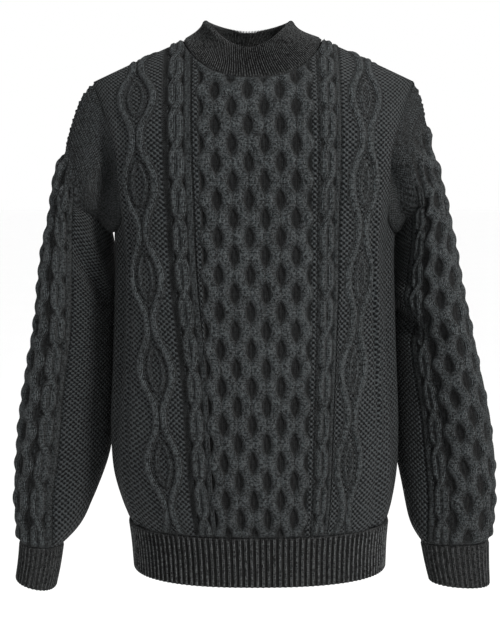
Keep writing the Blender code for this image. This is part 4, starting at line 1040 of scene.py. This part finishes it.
def make_cuff(piece, side, table):
    """Build a ribbed cuff."""
    phi = np.linspace(0, 2 * math.pi, CURVE_POINTS)[:-1]
    last = len(table) - 1.0

    def ring_at(share, columns):
        shares = np.linspace(0, 1, columns)
        place = share * last
        ring = even_ring(table_ring(table, place, phi, side), shares)
        below = even_ring(table_ring(table, min(place + CUFF_NEAR, last), phi, side), shares)
        above = even_ring(table_ring(table, max(place - CUFF_NEAR, 0.0), phi, side), shares)
        down = unit(below - above)
        around = np.roll(ring[:-1], -1, axis=0) - np.roll(ring[:-1], 1, axis=0)
        around = np.vstack([around, around[:1]])
        normal = unit(np.cross(around, down)) * side
        if share == 0.0:
            ring = ring + down * EDGE_GAP
        return ring, normal

    return make_rib(piece, ring_at, CUFF_RIBS, CUFF_RIB_RISE, CUFF_LENGTH, True, CUFF_CONTRAST)


def make_hem_rib(piece, facing):
    """Build the front or back half of the hem rib."""

    def ring_at(share, columns):
        z = RIB_TOP - EDGE_GAP + share * (HEM_BOTTOM - RIB_TOP + EDGE_GAP)
        x, depth, arc = body_row(z, facing)
        at = np.linspace(0, arc[-1], columns)
        y = facing * np.interp(at, arc, depth)
        ring = np.stack([np.interp(at, arc, x), y, np.full(columns, z)], axis=-1)
        along = np.gradient(ring, axis=0)
        normal = unit(np.stack([along[:, 1], -along[:, 0], np.zeros(columns)], axis=-1)) * -facing
        for end in (0, -1):
            normal[end] = (math.copysign(1, ring[end, 0]), 0.0, 0.0)
            ring[end, 1] = facing * SEAM_HALF_GAP
        return ring, normal

    length = RIB_TOP - HEM_BOTTOM
    return make_rib(piece, ring_at, HEM_RIBS, HEM_RIB_RISE, length, False, HEM_CONTRAST)


def neck_base(front_neck, back_neck, count):
    """Join the panels' necklines into one ring, from the left shoulder along the front and back."""
    corner_right = tuple((a + b) / 2 for a, b in zip(front_neck[-1], back_neck[0]))
    corner_left = tuple((a + b) / 2 for a, b in zip(front_neck[0], back_neck[-1]))
    front_side = [corner_left, *front_neck[1:-1], corner_right]
    back_side = [corner_right, *back_neck[1:-1], corner_left]
    halves = []
    for listed in (front_side, back_side):
        outer = np.array([pair[0] for pair in listed])
        normal = unit(outer - np.array([pair[1] for pair in listed]))
        along = np.gradient(outer, axis=0)
        along[0] = along[-1] = (0.0, 1.0, 0.0)
        toward = unit(np.cross(normal, along))
        middle = np.array([NECK_TOP[0], 0.0, 0.0])
        flip = np.sign(np.sum(toward * (middle - outer), axis=1, keepdims=True))
        arc = lengths_along(outer)
        at = np.linspace(0, arc[-1], count + 1)[:-1]
        halves.append([read_line(at, arc, part) for part in (outer, normal, toward * flip)])
    return [np.vstack(parts) for parts in zip(*halves)]


def neck_top_ring(count):
    """Return the neckband's top edge, starting on the left and going along the front."""
    size = dict(zip(NECK_NAMES, NECK_TOP))
    phi = np.linspace(0, math.pi, CURVE_POINTS)
    halves = []
    for facing, depth, z_end in ((-1, size["front"], size["z_front"]), (1, size["back"], size["z_back"])):
        turn = -np.cos(phi) if facing < 0 else np.cos(phi)
        half = np.where(turn < 0, size["left"], size["right"])
        x = size["x"] + turn * half
        y = facing * depth * np.sin(phi)
        z = size["z_side"] + (z_end - size["z_side"]) * np.sin(phi)**2
        ring = np.stack([x, y, z], axis=-1)
        arc = lengths_along(ring)
        halves.append(read_line(np.linspace(0, arc[-1], count + 1)[:-1], arc, ring))
    return np.vstack(halves)


def make_neckband(piece, front_neck, back_neck):
    """Build the folded, ribbed neckband: up outside, over the fold and down inside."""
    half = NECK_RIBS * NECK_SAMPLES
    base, base_normal, toward = neck_base(front_neck, back_neck, half)
    top = neck_top_ring(half)
    reach = np.linalg.norm(top - base, axis=1, keepdims=True)
    lean = unit(top - base)
    upright = unit(lean + np.array([0.0, 0.0, NECK_UPRIGHT]))
    climb = np.linspace(0, 1, NECK_ROWS)
    rings = []
    for w in climb:
        start = (2 * w**3 - 3 * w**2 + 1) * base + (w**3 - 2 * w**2 + w) * reach * unit(toward + lean)
        rings.append(start + (3 * w**2 - 2 * w**3) * top + (w**3 - w**2) * reach * upright)
    rings = np.array(rings) + toward * NECK_GAP * (1 - ease(climb / 0.2))[:, None, None]
    around = np.roll(rings, -1, axis=1) - np.roll(rings, 1, axis=1)
    out = unit(np.cross(around, np.gradient(rings, axis=0)))
    out = out * np.sign(np.sum(out * (rings - rings.mean(axis=1, keepdims=True)), axis=-1).mean())
    blend = ease(climb / 0.25)[:, None, None]
    out = unit(base_normal * (1 - blend) + out * blend)
    thick = (WALL + (NECK_WALL - WALL) * ease(climb / 0.4))[:, None, None]
    turn = np.arange(half * 2) / NECK_SAMPLES
    wave = rib_wave(turn)[:, None] * NECK_RIB_RISE
    shown = ease(climb / 0.15)[:, None, None]
    outside = rings + out * wave * shown
    inside = rings - out * (thick + wave * shown * 0.8)
    fold = []
    for angle in np.linspace(0, math.pi, NECK_FOLD_ROWS + 2)[1:-1]:
        outward = out[-1] * (NECK_WALL / 2 + wave) * math.cos(angle)
        upward = upright * (NECK_FOLD + wave) * math.sin(angle)
        fold.append(rings[-1] - out[-1] * NECK_WALL / 2 + outward + upward)
    points = np.concatenate([outside, np.array(fold), inside[::-1]]).transpose(1, 0, 2)
    points = np.concatenate([points, points[:1]])
    columns, rows = points.shape[:2]
    turn = np.arange(columns) / NECK_SAMPLES
    length = np.concatenate([[0], np.cumsum(np.linalg.norm(np.diff(points, axis=1), axis=2).mean(axis=0))])
    shape = points.shape[:2]
    grid = {
        "outer": points,
        "inner": points,
        "stitch": np.stack(np.broadcast_arrays(turn[:, None] * 2 + 0.5, length[None, :] / COURSE), axis=-1),
        "moss": np.zeros(shape),
        "purl": np.zeros(shape) + (rib_wave(turn)[:, None] < -0.2) * 0.5,
        "rise": np.zeros(shape) + rib_wave(turn)[:, None] * NECK_RIB_RISE * NECK_CONTRAST,
    }
    faces = fine_faces(np.full(columns, rows - 1), rows)
    last = rows - 1
    faces += [((a + 1) * rows + last, (a + 1) * rows, a * rows, a * rows + last) for a in range(columns - 1)]
    return build(piece, grid, faces, [], closed=True)


# Wool

class Value:
    """A number in a material's node tree, for use in formulas."""

    def __init__(self, tree, socket):
        self.tree = tree
        self.socket = socket

    def maths(self, kind, *others):
        node = self.tree.nodes.new("ShaderNodeMath")
        node.operation = kind
        for spot, part in zip(node.inputs, (self, *others)):
            if isinstance(part, Value):
                self.tree.links.new(part.socket, spot)
            else:
                spot.default_value = part
        return Value(self.tree, node.outputs[0])

    def __add__(self, other):
        return self.maths("ADD", other)

    def __sub__(self, other):
        return self.maths("SUBTRACT", other)

    def __rsub__(self, other):
        return (self * -1.0) + other

    def __mul__(self, other):
        return self.maths("MULTIPLY", other)

    def __pow__(self, other):
        return self.maths("POWER", other)

    def frac(self):
        return self.maths("FRACT")

    def size(self):
        return self.maths("ABSOLUTE")

    def sin(self):
        return self.maths("SINE")

    def cos(self):
        return self.maths("COSINE")

    def clip(self):
        return self.maths("MAXIMUM", 0.0).maths("MINIMUM", 1.0)


class Tree:
    """One material's nodes."""

    def __init__(self, name):
        self.material = bpy.data.materials.new(name)
        self.material.use_nodes = True
        self.tree = self.material.node_tree
        self.tree.nodes.clear()

    def node(self, kind, settings=None, **inputs):
        """Add a node. Settings come first, then the values or links of its sockets."""
        node = self.tree.nodes.new(kind)
        for name, value in (settings or {}).items():
            setattr(node, name, value)
        for name, value in inputs.items():
            socket = node.inputs[name.replace("_", " ")]
            if isinstance(value, Value):
                self.tree.links.new(value.socket, socket)
            else:
                socket.default_value = value
        return node

    def value(self, node, output):
        return Value(self.tree, node.outputs[output])

    def attribute(self, name):
        """Read a value that the mesh has at its points."""
        return self.value(self.node("ShaderNodeAttribute", {"attribute_name": name}), "Fac")

    def finish(self, **inputs):
        """Add the shader with its inputs, and return the material."""
        shader = self.node("ShaderNodeBsdfPrincipled", None, **inputs)
        self.node("ShaderNodeOutputMaterial", None, Surface=self.value(shader, 0))
        return self.material

    def noise(self, vector, scale, detail=2.0):
        node = self.node("ShaderNodeTexNoise", None, Vector=vector, Scale=scale, Detail=detail)
        return self.value(node, "Fac")

    def mix(self, share, a, b):
        """Mix two colours."""
        node = self.node("ShaderNodeMix", {"data_type": "RGBA"})
        for socket, part in zip((node.inputs[0], node.inputs[6], node.inputs[7]), (share, a, b)):
            if isinstance(part, Value):
                self.tree.links.new(part.socket, socket)
            else:
                socket.default_value = part
        return Value(self.tree, node.outputs[2])


def wool(name, dark, pale, fleck):
    """Make knitted wool: stitches raised by a bump, heathered yarn, with painted shade between the stitches
    and in the relief's hollows.
    """
    tree = Tree(name)
    places = tree.node("ShaderNodeUVMap", {"uv_map": "stitch"})
    split = tree.node("ShaderNodeSeparateXYZ", None, Vector=tree.value(places, "UV"))
    a = tree.value(split, "X")
    b = tree.value(split, "Y")
    moss = tree.attribute("moss")
    purl = tree.attribute("purl")
    rise = tree.attribute("rise")
    where = tree.value(tree.node("ShaderNodeTexCoord"), "Object")
    warp = tree.noise(where, 240.0) - 0.5
    a = a + warp * 0.22
    b = b + (tree.noise(where, 190.0) - 0.5) * 0.30
    off = (a.frac() - 0.5).size()
    leg = (off * (2 * math.pi)).sin().maths("MAXIMUM", 0.0)**0.6
    link = ((b - off * 0.9) * math.pi).sin().size()
    knit = leg * (link * 0.22 + 0.78)
    checker = (a * MOSS_TURN).cos() * (b * MOSS_TURN).cos() * 0.5 + 0.5
    checker = checker.maths("MAXIMUM", 0.0)**1.3
    bars = ((b + (a * (2 * math.pi)).cos() * 0.25) * math.pi).sin().size()
    height = knit * (1 - moss) * (1 - purl) + checker * moss * 1.9 + bars * (1 - moss) * purl
    fibre = tree.noise(where, 2600.0, 3.0)
    fuzz = tree.noise(where, 900.0, 2.0)
    surface = height + fibre * 0.25 + fuzz * 0.25
    heather = tree.noise(where, 420.0, 3.0)
    blotch = tree.noise(where, 12.0, 2.0)
    # painted light and shade: the yarn is paler on the stitches' tops and darker in their valleys, over the
    # heather's tone
    light = ((heather - 0.5) * 4.2 + (blotch - 0.5) * 0.5 + height * 1.8 - 0.95).clip()
    colour = tree.mix(light, dark, pale)
    flecks = ((tree.noise(where, 1500.0, 1.0) - 0.62) * 9.0).clip() * 0.55
    colour = tree.mix(flecks, colour, fleck)
    # painted shade: the relief's hollows are darkened by their depth below the stitches' tops
    depth = (rise * 150.0 + 0.42).clip()
    shade = tree.mix(depth, HOLLOW_SHADE, (1.0, 1.0, 1.0, 1.0))
    product = tree.node("ShaderNodeVectorMath", {"operation": "MULTIPLY"})
    tree.tree.links.new(colour.socket, product.inputs[0])
    tree.tree.links.new(shade.socket, product.inputs[1])
    bump = tree.node("ShaderNodeBump", None, Height=surface, Strength=1.0, Distance=STITCH_BUMP)
    return tree.finish(Base_Color=tree.value(product, 0), Normal=tree.value(bump, 0), Roughness=0.92,
                       Sheen_Weight=0.03, Sheen_Roughness=0.5, Specular_IOR_Level=0.08)


def floor_paint():
    """Make the pale floor's paint."""
    tree = Tree("floor")
    where = tree.value(tree.node("ShaderNodeTexCoord"), "Object")
    colour = tree.mix(tree.noise(where, 3.0), FLOOR_LOW, FLOOR_HIGH)
    return tree.finish(Base_Color=colour, Roughness=0.9)


def add_light(name, place, toward, size, power, colour):
    """Add a soft round light that faces a point."""
    data = bpy.data.lights.new(name, "AREA")
    data.shape = "DISK"
    data.size = size
    data.energy = power
    data.color = colour
    light = bpy.data.objects.new(name, data)
    light.location = place
    aim = mathutils.Vector(toward) - mathutils.Vector(place)
    light.rotation_euler = aim.to_track_quat("-Z", "Y").to_euler()
    bpy.context.scene.collection.objects.link(light)


def add_camera():
    """Stand the camera in front of the sweater, a little above its middle."""
    data = bpy.data.cameras.new("camera")
    data.lens = LENS
    data.sensor_width = 36.0
    data.shift_y = CAMERA_SHIFT
    camera = bpy.data.objects.new("camera", data)
    camera.location = CAMERA_PLACE
    camera.rotation_euler = (math.radians(90 + CAMERA_TILT), 0.0, 0.0)
    bpy.context.scene.collection.objects.link(camera)
    bpy.context.scene.camera = camera


def light_room():
    """Lay the floor and set the soft studio light."""
    bpy.ops.mesh.primitive_plane_add(size=FLOOR_SIZE, location=(0.0, 0.0, FLOOR_HEIGHT))
    floor = bpy.context.object
    floor.name = "floor"
    bpy.ops.object.transform_apply(location=True, rotation=True, scale=True)
    floor.data.materials.append(floor_paint())
    world = bpy.data.worlds.new("studio")
    bpy.context.scene.world = world
    world.use_nodes = True
    sky = world.node_tree.nodes["Background"]
    sky.inputs["Color"].default_value = (1.0, 1.0, 1.0, 1.0)
    sky.inputs["Strength"].default_value = WORLD
    for light in LIGHTS:
        add_light(*light)
    bpy.context.scene.view_settings.view_transform = "Standard"


def main():
    """Make the sweater's pieces, dress them in wool, and set up the room."""
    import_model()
    front, front_neck, front_arms = make_panel("front", -1)
    back, back_neck, back_arms = make_panel("back", 1)
    pieces = {"front": front, "back": back}
    for name, side, table in (("sleeve_left", -1, SLEEVE_LEFT), ("sleeve_right", 1, SLEEVE_RIGHT)):
        arm = armhole_curve(front_arms[side], back_arms[side])
        pieces[name] = make_sleeve(name, side, table, SLEEVE_TURNS[name], arm)
    pieces["cuff_left"] = make_cuff("cuff_left", -1, CUFF_LEFT)
    pieces["cuff_right"] = make_cuff("cuff_right", 1, CUFF_RIGHT)
    pieces["hem_rib_front"] = make_hem_rib("hem_rib_front", -1)
    pieces["hem_rib_back"] = make_hem_rib("hem_rib_back", 1)
    pieces["neckband"] = make_neckband("neckband", front_neck, back_neck)
    knit = wool("knit", *KNIT_COLOURS)
    rib = wool("rib", *RIB_COLOURS)
    for node, piece in pieces.items():
        piece.name = node + "_wool"
        plain = node in ("front", "back", "sleeve_left", "sleeve_right")
        piece.data.materials.append(knit if plain else rib)
        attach(piece, "root")
        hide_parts(node)
    light_room()
    add_camera()


main()
